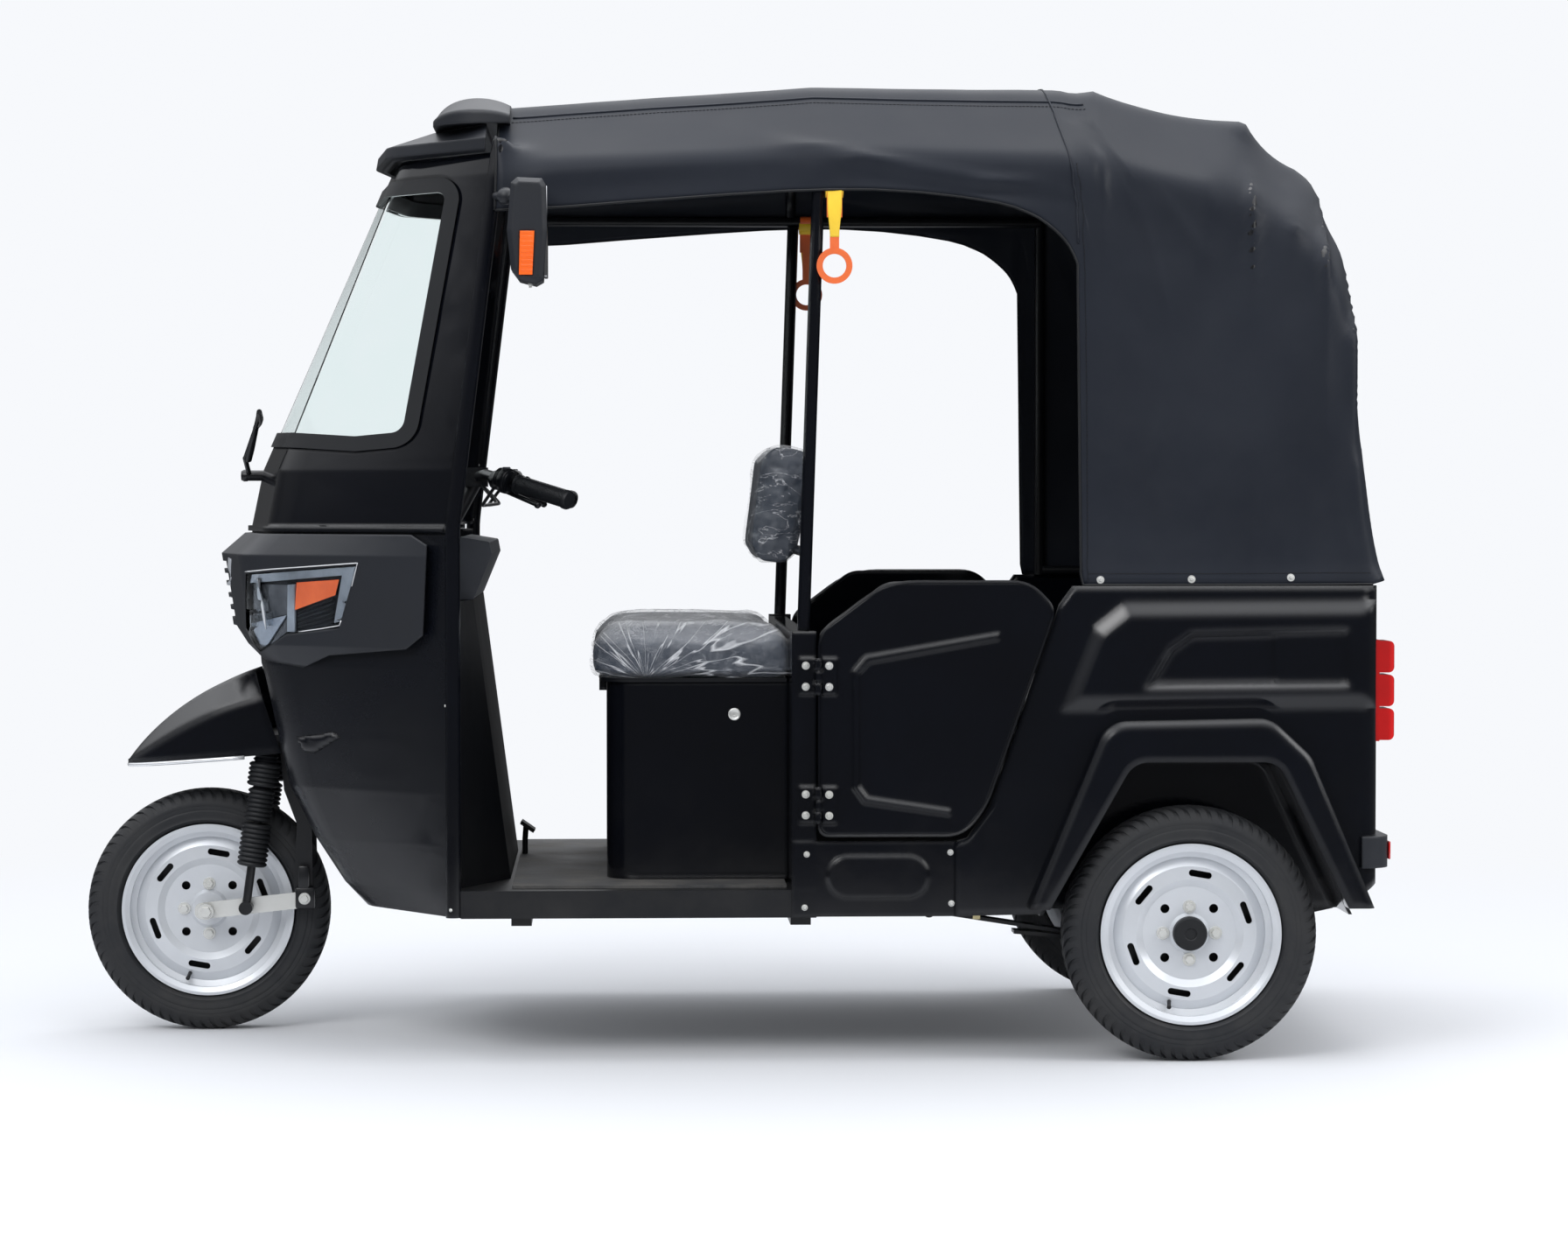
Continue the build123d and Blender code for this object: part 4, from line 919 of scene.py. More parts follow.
# ---- wheels
wheel = {
    "tyreRadius": 0.250, "halfWidth": 0.052, "beadRadius": 0.168, "grooveDepth": 0.0042, "lugs": 68,
    "lugSpread": 0.62, "lean": 6.4, "rearTrack": 1.130,
    "hubCap": [
        (0.0, 0.0), (0.0, 0.0335), (0.0150, 0.0330), (0.0185, 0.0300), (0.0195, 0.0130),
        (0.0185, 0.0115), (0.0165, 0.0110), (0.0165, 0.0),
    ],
    "nutCircle": 0.0520, "drumSet": 0.0240,
    "drum": [
        (0.0, 0.030), (0.0, 0.136), (0.003, 0.139), (0.016, 0.139), (0.018, 0.136), (0.018, 0.030),
        (0.0, 0.030),
    ],
    "valve": [(0.022, -0.040, -0.134), (0.036, -0.042, -0.140), (0.043, -0.043, -0.143)],
}
wheelPlaces = [
    # name, x, y, the way its outer face looks, body, tyre
    ("front", frontX, 0.0, -1, "front_wheel", "front_tyre"),
    ("rearLeft", rearX, -wheel["rearTrack"] / 2, -1, "rear_wheel_left", "rear_left_tyre"),
    ("rearRight", rearX, wheel["rearTrack"] / 2, 1, "rear_wheel_right", "rear_right_tyre"),
]


def tyreBody(name):
    half, radius, bead = wheel["halfWidth"], wheel["tyreRadius"], wheel["beadRadius"]
    groove = radius - wheel["grooveDepth"]
    side = [
        (0.0377, bead), (0.0377, 0.1785), (0.0475, 0.1838), (0.0485, 0.1850), (0.0500, 0.1855),
        (0.0514, 0.1880), (0.0506, 0.1892), (half - 0.0004, 0.1960), (half, 0.2030),
        (half - 0.0002, 0.2070), (half - 0.0008, 0.2076), (half - 0.0003, 0.2110),
        (half - 0.0006, 0.2160), (half - 0.0014, 0.2165), (half - 0.0012, 0.2215),
        (half - 0.0021, 0.2245), (half - 0.0066, 0.2330), (half - 0.0120, radius - 0.0115),
        (half - 0.0200, radius - 0.0070), (half - 0.0300, groove - 0.0002), (0.0085, groove),
        (0.0080, radius - 0.0004), (0.0020, radius), (0.0015, groove),
    ]
    ring = side + [(-y, r) for y, r in reversed(side)]
    return spun(name, ring + [ring[0]], (0, 0, 0), (0, 1, 0), tyreRubber, 96)


def treadLug(name):
    # one pitch: a leaning lug on each side, from the centre rib out over the shoulder
    radius = wheel["tyreRadius"]
    width = 2 * math.pi / wheel["lugs"] * wheel["lugSpread"]
    lean = math.radians(wheel["lean"])
    # out from the middle, radius, share of the lean
    run = [
        (0.0110, radius - 0.0001, 0.0), (0.0200, radius - 0.0002, 0.25),
        (0.0250, radius - 0.0006, 0.42), (0.0330, radius - 0.0026, 0.62),
        (0.0400, radius - 0.0068, 0.80), (0.0458, radius - 0.0150, 0.94),
        (0.0494, radius - 0.0235, 1.0), (0.0503, radius - 0.0268, 1.02),
    ]
    points, faces = [], []
    for side in (1, -1):
        base = len(points)
        for y, r, turn in run:
            outward = 0.0 if y < 0.03 else 0.6 * min(1.0, (y - 0.03) / 0.018)
            for depth, wide in ((0.0, 1.0), (0.0055, 1.12)):
                for edge in (-0.5, 0.5):
                    angle = lean * turn + width * wide * edge
                    reach = r - depth * (1 - 0.4 * outward)
                    flat = y - depth * outward
                    points.append((reach * math.sin(angle), side * flat, reach * math.cos(angle)))
        count = len(run)
        for k in range(count - 1):
            a, b = base + 4 * k, base + 4 * (k + 1)
            faces += [
                (a, a + 1, b + 1, b), (a + 2, a, b, b + 2), (a + 1, a + 3, b + 3, b + 1),
                (a + 3, a + 2, b + 2, b + 3),
            ]
        last = base + 4 * (count - 1)
        faces += [(base + 2, base + 3, base + 1, base), (last, last + 1, last + 3, last + 2)]
    return meshObject(name, points, faces, tyreRubber, smooth=False)


def makeTyres():
    for name, x, y, out, body, node in wheelPlaces:
        carcass = tyreBody(name + "Carcass")
        carcass.data.transform(Matrix.Translation((x, y, wheelZ)))
        lugs = ringOf(name + "Lugs", treadLug(name + "Lug"), wheel["lugs"], (x, y, wheelZ), tyreRubber)
        softEdges(carcass, 45)
        tyre = joined(name + "Tyre", carcass, lugs)
        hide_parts(node)
        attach(tyre, body)


def makeHubs():
    # a black cap on the rear hubs, nuts and a valve on every disc
    for name, x, y, out, body, node in wheelPlaces:
        center = Vector((x, y, wheelZ))
        axis = Vector((0, out, 0))
        if name != "front":
            cap = spun(name + "HubCap", wheel["hubCap"], center + axis * 0.0220, axis, blackRubber, 40)
            softEdges(cap, 35)
            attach(cap, body)
        flat = 0.0160 if name == "front" else 0.0158
        nuts = []
        for k in range(4):
            angle = math.radians(90 * k)
            place = Vector((math.sin(angle), 0, math.cos(angle))) * wheel["nutCircle"]
            nuts.append((center + axis * flat + place, axis))
        fasteners(name + "WheelNuts", nuts, body, "wheelNut")
        path = [center + axis * far + Vector((x, 0, z)) for far, x, z in wheel["valve"]]
        stem = tube(name + "Valve", path, [0.0042, 0.0036, 0.0045], blackRubber, 10)
        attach(stem, body)


makeTyres()
makeHubs()
print("wheels made")


# ---- canopy: one sheet from edge to edge
canopy = {
    # x, half width, shoulder height, half width of the top, top height
    "bows": [
        (-0.452, 0.584, 1.748, 0.430, 1.882), (0.166, 0.586, 1.780, 0.440, 1.929),
        (0.723, 0.590, 1.764, 0.440, 1.921), (1.030, 0.590, 1.694, 0.440, 1.861),
        (1.174, 0.580, 1.584, 0.430, 1.752), (1.229, 0.570, 1.434, 0.430, 1.606),
        (1.268, 0.566, 1.040, 0.430, 1.191), (1.274, 0.566, 0.970, 0.500, 1.060),
        (1.288, 0.568, 0.905, 0.530, 0.958), (1.296, 0.570, 0.870, 0.540, 0.900),
    ],
    # lower edge x, z, the place on the top line over it, and the sag in the bay before it
    "stations": [
        (-0.458, 1.662, -0.452, 1.882, 0.000), (0.166, 1.7025, 0.166, 1.929, 0.004),
        (0.554, 1.672, 0.560, 1.9205, 0.000), (0.640, 1.622, 0.655, 1.9196, 0.000),
        (0.676, 1.566, 0.723, 1.919, 0.006),
        (0.684, 0.934, 1.030, 1.861, 0.015), (0.800, 0.934, 1.174, 1.752, 0.022),
        (0.950, 0.934, 1.229, 1.606, 0.018), (1.150, 0.934, 1.266, 1.215, 0.010),
        (1.262, 0.935, 1.290, 0.942, 0.000),
    ],
    "bay": [0, 1, 1, 1, 2, 3, 4, 5, 6, 6],
    "lowerEdge": [
        (-0.458, 1.662), (-0.332, 1.668), (-0.200, 1.679), (-0.094, 1.687), (0.000, 1.694),
        (0.110, 1.701), (0.200, 1.704), (0.281, 1.704), (0.370, 1.699), (0.452, 1.690),
        (0.520, 1.679), (0.554, 1.670), (0.595, 1.653), (0.623, 1.634), (0.648, 1.611),
        (0.665, 1.588), (0.676, 1.560), (0.681, 1.520), (0.683, 1.450),
    ],
    # slack folds over the side opening: x, z, lean, length, width, height
    "folds": [
        (0.330, 1.752, -0.16, 0.190, 0.013, 0.0062), (0.400, 1.732, -0.10, 0.210, 0.011, 0.0050),
        (0.245, 1.773, -0.22, 0.130, 0.012, 0.0045), (0.520, 1.722, 0.06, 0.110, 0.010, 0.0035),
        (-0.150, 1.752, 0.05, 0.200, 0.018, 0.0020),
    ],
    "rows": 150, "columns": 176, "fade": 0.30, "wall": 0.0022, "crown": 0.008, "overTubes": 0.0032,
    "middle": (0.4, 0, 1.2), "reach": 1.3, "rearMost": 1.2965, "bend": 0.060,
}


def topHeight(x, y):
    half, shoulder, topHalf, top = along(canopy["bows"], x)
    y = abs(y)
    if y <= topHalf:
        return top - canopy["crown"] * (y / topHalf) ** 2
    return between(top - canopy["crown"], shoulder, min(1.0, (y - topHalf) / (half - topHalf)))


def reachAlong(origin, way, y, shoulder=False):
    # how far a line in the side view runs before it meets the skin
    low, high = 0.0, canopy["reach"]
    for step in range(28):
        middle = (low + high) / 2
        x, z = origin[0] + way[0] * middle, origin[1] + way[1] * middle
        limit = along(canopy["bows"], x)[1] if shoulder else topHeight(x, y)
        if z < limit and x < canopy["rearMost"]:
            low = middle
        else:
            high = middle
    return low


def canopySection(origin, target):
    way = Vector((target[0] - origin[0], target[1] - origin[1]))
    way = way.normalized() if way.length > 0.004 else Vector((1, 0.05)).normalized()
    legReach = reachAlong(origin, way, 0, shoulder=True)
    half = along(canopy["bows"], origin[0] + way[0] * legReach)[0]
    footHalf = along(canopy["bows"], origin[0])[0]
    topHalf = along(canopy["bows"], origin[0] + way[0] * reachAlong(origin, way, 0.43))[2]
    knee = reachAlong(origin, way, topHalf)
    crown = reachAlong(origin, way, 0)
    legReach = min(legReach, knee)
    corners = [
        (-footHalf, 0.0), (-half, max(legReach, 0.002)), (-topHalf, knee), (0.0, crown),
        (topHalf, knee), (half, max(legReach, 0.002)), (footHalf, 0.0),
    ]
    bend = canopy["bend"]
    bends = [0, bend, bend, 0.6, bend, bend, 0]
    line = []
    for index, corner in enumerate(corners):
        if not bends[index]:
            line.append(Vector(corner))
            continue
        here, before, after = Vector(corner), Vector(corners[index - 1]), Vector(corners[index + 1])
        a, b = before - here, after - here
        long = a.length > 1e-5 and b.length > 1e-5
        spread = math.tan(max(0.05, (math.pi - a.angle(b)) / 2)) if long else 0.1
        reach = min(bends[index] * spread, a.length * 0.48, b.length * 0.48)
        start, end = here + a.normalized() * reach, here + b.normalized() * reach
        line += [start.lerp(here, t / 8).lerp(here.lerp(end, t / 8), t / 8) for t in range(9)]
    lengths = [0.0]
    for p, q in zip(line, line[1:]):
        lengths.append(lengths[-1] + (q - p).length)
    return way, line, lengths, lengths[-1]


def readLine(line, lengths, want):
    for index in range(len(line) - 1):
        if want <= lengths[index + 1] or index == len(line) - 2:
            t = (want - lengths[index]) / max(1e-9, lengths[index + 1] - lengths[index])
            return line[index].lerp(line[index + 1], max(0.0, min(1.0, t)))


def makeCanopyGrid():
    stations = canopy["stations"]
    rows = canopy["rows"]
    lengths = [0.0]
    for a, b in zip(stations, stations[1:]):
        top, foot = math.hypot(b[2] - a[2], b[3] - a[3]), math.hypot(b[0] - a[0], b[1] - a[1])
        lengths.append(lengths[-1] + max(top, 0.35 * foot))
    grid = []
    for row in range(rows + 1):
        want = lengths[-1] * row / rows
        bay = max(0, min(len(stations) - 2, sum(1 for value in lengths[1:] if value < want)))
        t = (want - lengths[bay]) / (lengths[bay + 1] - lengths[bay])
        a, b = stations[bay], stations[bay + 1]
        origin = [between(a[0], b[0], t), between(a[1], b[1], t)]
        if bay < 4 and origin[0] < 0.676:
            origin[1] = along(canopy["lowerEdge"], origin[0])[0]
        target = (between(a[2], b[2], t), between(a[3], b[3], t))
        way, line, steps, total = canopySection(origin, target)
        # sag between the bows, sharp at each bow
        group = canopy["bay"][bay + 1]
        ends = [k for k in range(1, len(stations)) if canopy["bay"][k] == group]
        first, last = lengths[ends[0] - 1], lengths[ends[-1]]
        phase = (want - first) / (last - first)
        depth = max(stations[k][4] for k in ends) * abs(math.sin(math.pi * phase)) ** 0.8
        grid.append((origin, way, line, steps, total, depth))
    return grid


def makeCanopy():
    grid = makeCanopyGrid()
    rows, columns = canopy["rows"], canopy["columns"]
    points = []
    for origin, way, line, steps, total, depth in grid:
        for column in range(columns + 1):
            share = column / columns
            share = share + 0.035 * math.sin(2 * math.pi * share * 2) / (2 * math.pi)
            spot = readLine(line, steps, total * share)
            x, y, z = origin[0] + way[0] * spot[1], spot[0], origin[1] + way[1] * spot[1]
            fromTop = max(0.0, along(canopy["bows"], x)[1] - z) if abs(y) > 0.5 else 0.0
            weight = smoothStep(1 - fromTop / canopy["fade"])
            points.append([x, y, z, depth * weight])
    count = columns + 1
    faces = []
    for r in range(rows):
        for c in range(columns):
            at = r * count + c
            faces.append((at, at + 1, at + count + 1, at + count))
    mesh = bpy.data.meshes.new("canopySheet")
    mesh.from_pydata([p[:3] for p in points], [], faces)
    mesh.update()
    normals = [vertex.normal.copy() for vertex in mesh.vertices]
    middle = Vector(canopy["middle"])
    for index, vertex in enumerate(mesh.vertices):
        normal = normals[index]
        if normal.dot(vertex.co - middle) < 0:
            normal = -normal
        x, y, z = vertex.co
        push = -points[index][3]
        # slack folds over the side opening, and slow waves in the hood's flanks
        for fx, fz, lean, long, wide, high in canopy["folds"]:
            if abs(y) > 0.40:
                acrossFold = (z - fz) - lean * (x - fx)
                fade = math.exp(-((x - fx) / long) ** 2)
                push += high * math.exp(-(acrossFold / wide) ** 2) * fade
                push -= 0.6 * high * math.exp(-((acrossFold + 2.1 * wide) / wide) ** 2) * fade
        slow = 0.0022 * noise.noise(Vector((x * 3.1, y * 2.2, z * 3.3)))
        quick = 0.0008 * noise.noise(Vector((x * 11, y * 8, z * 12)))
        push += slow + quick
        if x > 0.70 and z < 1.7:
            crease = noise.noise(Vector((x * 5.0 + z * 1.5, 4.0 + y, z * 2.4)))
            push += 0.0030 * max(0.0, 0.12 - abs(crease)) / 0.12 * smoothStep((z - 0.95) / 0.15)
        hem = smoothStep(1 - (z - 0.932) / 0.05) if x > 0.69 else 0.0
        push += 0.004 * hem
        vertex.co += normal * push
    # the sheet lies over the tubes wherever it would sink into them
    tubes = skinOf("roof_frame", "cabin_tubes")
    for turn in range(3):
        lifts = {}
        for index, vertex in enumerate(mesh.vertices):
            normal = normals[index] if normals[index].dot(vertex.co - middle) > 0 else -normals[index]
            hit, facing, number, distance = tubes.ray_cast(
                vertex.co + normal * 0.040, -normal, 0.040 + canopy["overTubes"],
            )
            if hit is not None:
                lifts[index] = hit + normal * canopy["overTubes"] - vertex.co
        for index, move in lifts.items():
            mesh.vertices[index].co += move
        if turn < 2:
            patch = {}
            for index in lifts:
                row, column = divmod(index, count)
                for r in range(max(0, row - 4), min(rows, row + 4) + 1):
                    for c in range(max(1, column - 4), min(columns - 1, column + 4) + 1):
                        patch[r * count + c] = (r, c)
            for step in range(3):
                fresh = {}
                for index, (r, c) in patch.items():
                    if 0 < r < rows:
                        sides = (index - 1, index + 1, index - count, index + count)
                        fresh[index] = sum([mesh.vertices[k].co for k in sides], Vector()) / 4
                for index, place in fresh.items():
                    mesh.vertices[index].co = place
    mesh.materials.append(canopyVinyl)
    sheet = placed("canopySheet", mesh)
    finishMesh(sheet, True)
    if sum(face.normal.dot(face.center - middle) for face in mesh.polygons) < 0:
        mesh.flip_normals()
    print("canopy area", round(sum(face.area for face in mesh.polygons), 3))
    surfaceTree = BVHTree.FromPolygons(
        [v.co for v in mesh.vertices], [tuple(f.vertices) for f in mesh.polygons],
    )
    boundary = [[mesh.vertices[r * count + c].co.copy() for r in range(rows + 1)] for c in (0, columns)]
    frontLine = [mesh.vertices[c].co.copy() for c in range(count)]
    solid = sheet.modifiers.new("wall", "SOLIDIFY")
    solid.thickness = canopy["wall"]
    solid.offset = -1
    applyModifiers(sheet)
    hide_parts("canopy")
    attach(sheet, "chassis")
    return sheet, surfaceTree, boundary, frontLine


def seamLine(surfaceTree, corners, lift, step=0.012):
    # a line between corners, laid on the sheet
    path = []
    for a, b in zip(corners, corners[1:]):
        a, b = Vector(a), Vector(b)
        parts = max(1, int((b - a).length / step))
        path += [a.lerp(b, k / parts) for k in range(parts)]
    path.append(Vector(corners[-1]))
    laid = []
    for point in path:
        hit, normal, index, distance = surfaceTree.find_nearest(point)
        if normal.dot(hit - Vector(canopy["middle"])) < 0:
            normal = -normal
        laid.append(hit + normal * lift)
    return laid


canopySheet, canopyTree, canopyEdges, canopyFront = makeCanopy()
canopyTrim = {
    "bindingRadius": 0.0026, "pipingRadius": 0.0022, "stitchPitch": 0.0075, "pipingLift": 0.0004,
    "stitchLift": 0.0006,
    "pipings": {
        "roofSeam": [(-0.425, 0.455, 1.845), (0.166, 0.465, 1.893), (0.700, 0.470, 1.885)],
        "hoodSeam": [(0.676, 0.6, 1.60), (0.668, 0.6, 1.74), (0.640, 0.50, 1.87), (0.618, 0.40, 1.91)],
    },
    "stitches": {
        "hoodStitches": [(0.697, 0.6, 0.945), (0.695, 0.6, 1.30), (0.690, 0.6, 1.58), (0.678, 0.6, 1.76)],
        "roofStitches": [(-0.425, 0.470, 1.840), (0.166, 0.480, 1.888), (0.700, 0.485, 1.880)],
        "hemStitches": [(0.700, 0.6, 0.957), (1.000, 0.6, 0.957), (1.255, 0.57, 0.957)],
    },
}
bindings = []
for k, line in enumerate(canopyEdges):
    bindings.append(tube("canopyBinding%d" % k, line, canopyTrim["bindingRadius"], blackRubber, 8))
bindings.append(tube("canopyFrontBinding", canopyFront, canopyTrim["bindingRadius"], blackRubber, 8))
for side in (-1, 1):
    for name, corners in canopyTrim["pipings"].items():
        line = seamLine(canopyTree, [(x, side * y, z) for x, y, z in corners], canopyTrim["pipingLift"])
        bindings.append(tube(name + str(side), line, canopyTrim["pipingRadius"], canopyVinyl, 8))
    for name, corners in canopyTrim["stitches"].items():
        line = seamLine(canopyTree, [(x, side * y, z) for x, y, z in corners], canopyTrim["stitchLift"])
        stitched(name + str(side), line, blackRubber, "chassis", canopyTrim["stitchPitch"])
canopyBinding = joined("canopyBinding", *bindings)
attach(canopyBinding, "chassis")
print("canopy made")


# ---- seats
pads = {
    "driverCushion": {
        "node": "driver_cushion", "voxel": 0.0085, "shrink": (0.010, 0.010, 0.010), "pressure": 4.0,
        "cap": 0.016, "frames": 20, "flat": True, "crown": (0.006, 0.13, 0.002),
        "grow": (0.007, 0.006, 0.0),
    },
    "driverBackrest": {
        "node": "driver_backrest", "voxel": 0.0065, "shrink": (0.008, 0.008, 0.008),
        "pressure": 4.0, "cap": 0.012, "frames": 20, "flat": False,
    },
}


bench = {
    # low corner, high corner, lean
    "seat": ((0.560, -0.560, 0.6204), (1.098, 0.560, 0.712), 0),
    "back": ((1.116, -0.528, 0.6204), (1.160, 0.528, 1.076), 0.166),
    "channels": [-0.42, -0.28, -0.14, 0.0, 0.14, 0.28, 0.42], "rise": 0.012, "step": 0.012, "soft": 0.035,
}


def shrunkCopy(name, node, shrink):
    mesh = cadNodes[node].data.copy()
    thing = placed(name, mesh)
    finishMesh(thing, False, 0.00005)
    low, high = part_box(node)
    middle = (Vector(low) + Vector(high)) / 2
    size = Vector(high) - Vector(low)
    for vertex in mesh.vertices:
        offset = vertex.co - middle
        vertex.co = middle + Vector([offset[k] * (size[k] - 2 * shrink[k]) / size[k] for k in range(3)])
    return thing, Vector(low), Vector(high)


def stuffed(name, pad, material):
    thing, low, high = shrunkCopy(name, pad["node"], pad["shrink"])
    remesh = thing.modifiers.new("remesh", "REMESH")
    remesh.mode = "VOXEL"
    remesh.voxel_size = pad["voxel"]
    applyModifiers(thing)
    mesh = thing.data
    start = [vertex.co.copy() for vertex in mesh.vertices]
    cloth = thing.modifiers.new("cloth", "CLOTH")
    settings = cloth.settings
    settings.quality = 6
    settings.mass = 0.3
    settings.tension_stiffness = settings.compression_stiffness = 15
    settings.shear_stiffness = 5
    settings.bending_stiffness = 0.5
    settings.use_pressure = True
    settings.uniform_pressure_force = pad["pressure"]
    settings.effector_weights.gravity = 0
    scene = bpy.context.scene
    for number in range(1, pad["frames"] + 1):
        scene.frame_set(number)
    applyModifiers(thing)
    scene.frame_set(1)
    mesh = thing.data
    for place, vertex in zip(start, mesh.vertices):
        move = vertex.co - place
        if move.length > pad["cap"]:
            vertex.co = place + move.normalized() * pad["cap"]
        if pad["flat"]:
            vertex.co.z = max(vertex.co.z, low[2] + 0.0006)
    mesh.materials.clear()
    mesh.materials.append(material)
    for face in mesh.polygons:
        face.use_smooth = True
    return thing, low, high


def crown(thing, low, high, rise, edge, wave=0.0):
    # lifts the middle of the top, and gives it slack waves
    for vertex in thing.data.vertices:
        x, y, z = vertex.co
        inside = smoothStep(min(
            x - low[0], high[0] - x,
        ) / edge) * smoothStep(min(y - low[1], high[1] - y) / edge)
        top = smoothStep((z - (low[2] + high[2]) / 2) / ((high[2] - low[2]) / 2))
        vertex.co.z += top * (rise * inside + wave * noise.noise(Vector((x * 7, y * 5, 1.0))))


def fitTo(thing, low, high, grow):
    # fills the pad out to its own size, and a little over
    corners = [[pick(vertex.co[k] for vertex in thing.data.vertices) for k in range(3)] for pick in (
        min, max,
    )]
    for vertex in thing.data.vertices:
        for k in range(3):
            if grow[k]:
                share = (vertex.co[k] - corners[0][k]) / (corners[1][k] - corners[0][k])
                vertex.co[k] = between(low[k] - grow[k], high[k] + grow[k], share)


def subdivided(thing, level=1):
    modifier = thing.modifiers.new("smooth", "SUBSURF")
    modifier.levels = modifier.render_levels = level
    return thing


def makeSeats():
    cushion, low, high = stuffed("driverCushion", pads["driverCushion"], seatVinyl)
    crown(cushion, low, high, *pads["driverCushion"]["crown"])
    fitTo(cushion, low, high, pads["driverCushion"]["grow"])
    subdivided(cushion)
    applyModifiers(cushion)
    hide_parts("driver_cushion")
    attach(cushion, "driver_seat")
    back = stuffed("driverBackrest", pads["driverBackrest"], seatVinyl)[0]
    subdivided(back)
    applyModifiers(back)
    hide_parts("driver_backrest")
    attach(back, "chassis")
    return cushion, back


def benchPad(name, low, high, lean):
    # a crowned pad with sewn channels across it; lean slides its top rearwards
    size = [high[k] - low[k] for k in range(3)]
    counts = [int(value / bench["step"]) for value in size]
    work = bmesh.new()
    bmesh.ops.create_cube(work, size=1.0)
    for axis in range(3):
        for k in range(1, counts[axis]):
            place, facing = [0, 0, 0], [0, 0, 0]
            place[axis], facing[axis] = k / counts[axis] - 0.5, 1
            bmesh.ops.bisect_plane(
                work, geom=work.verts[:] + work.edges[:] + work.faces[:], plane_co=place,
                plane_no=facing,
            )
    for vert in work.verts:
        u, v, w = vert.co * 2
        # rounded block: corners pulled onto a soft box
        soft = [bench["soft"] / (value / 2) for value in size]
        core = Vector([max(-(1 - soft[k]), min(1 - soft[k], value)) for k, value in enumerate((u, v, w))])
        out = Vector([(value - core[k]) / soft[k] for k, value in enumerate((u, v, w))])
        if out.length > 1:
            out.normalize()
        place = Vector([core[k] + out[k] * soft[k] for k in range(3)])
        x, y, z = [(low[k] + high[k]) / 2 + place[k] * size[k] / 2 for k in range(3)]
        sunk = 0.006 * sum(math.exp(-((y - channel) / 0.006) ** 2) for channel in bench["channels"])
        middle = (1 - u * u) * (1 - v * v) if lean == 0 else (1 - w * w) * (1 - v * v)
        if lean == 0 and w > 0:
            z += w * bench["rise"] * middle
            z -= w * sunk
        if lean and u < 0:
            x += u * bench["rise"] * middle
            x -= u * sunk
        x += lean * (z - low[2])
        vert.co = (x, y, z)
    mesh = bpy.data.meshes.new(name)
    work.to_mesh(mesh)
    work.free()
    mesh.materials.append(benchVinyl)
    thing = placed(name, mesh)
    return finishMesh(thing)


driverCushion, driverBackrest = makeSeats()
benchPads = joined("benchPads", benchPad("benchSeat", *bench["seat"]), benchPad("benchBack", *bench["back"]))
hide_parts("bench_cushions")
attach(benchPads, "chassis")
print("seats made")


# ---- clear film on the driver's seat
film = {"lift": 0.0045, "backLift": 0.0030, "wrinkle": 0.0045, "gather": (-0.165, 0.437, 0.752)}


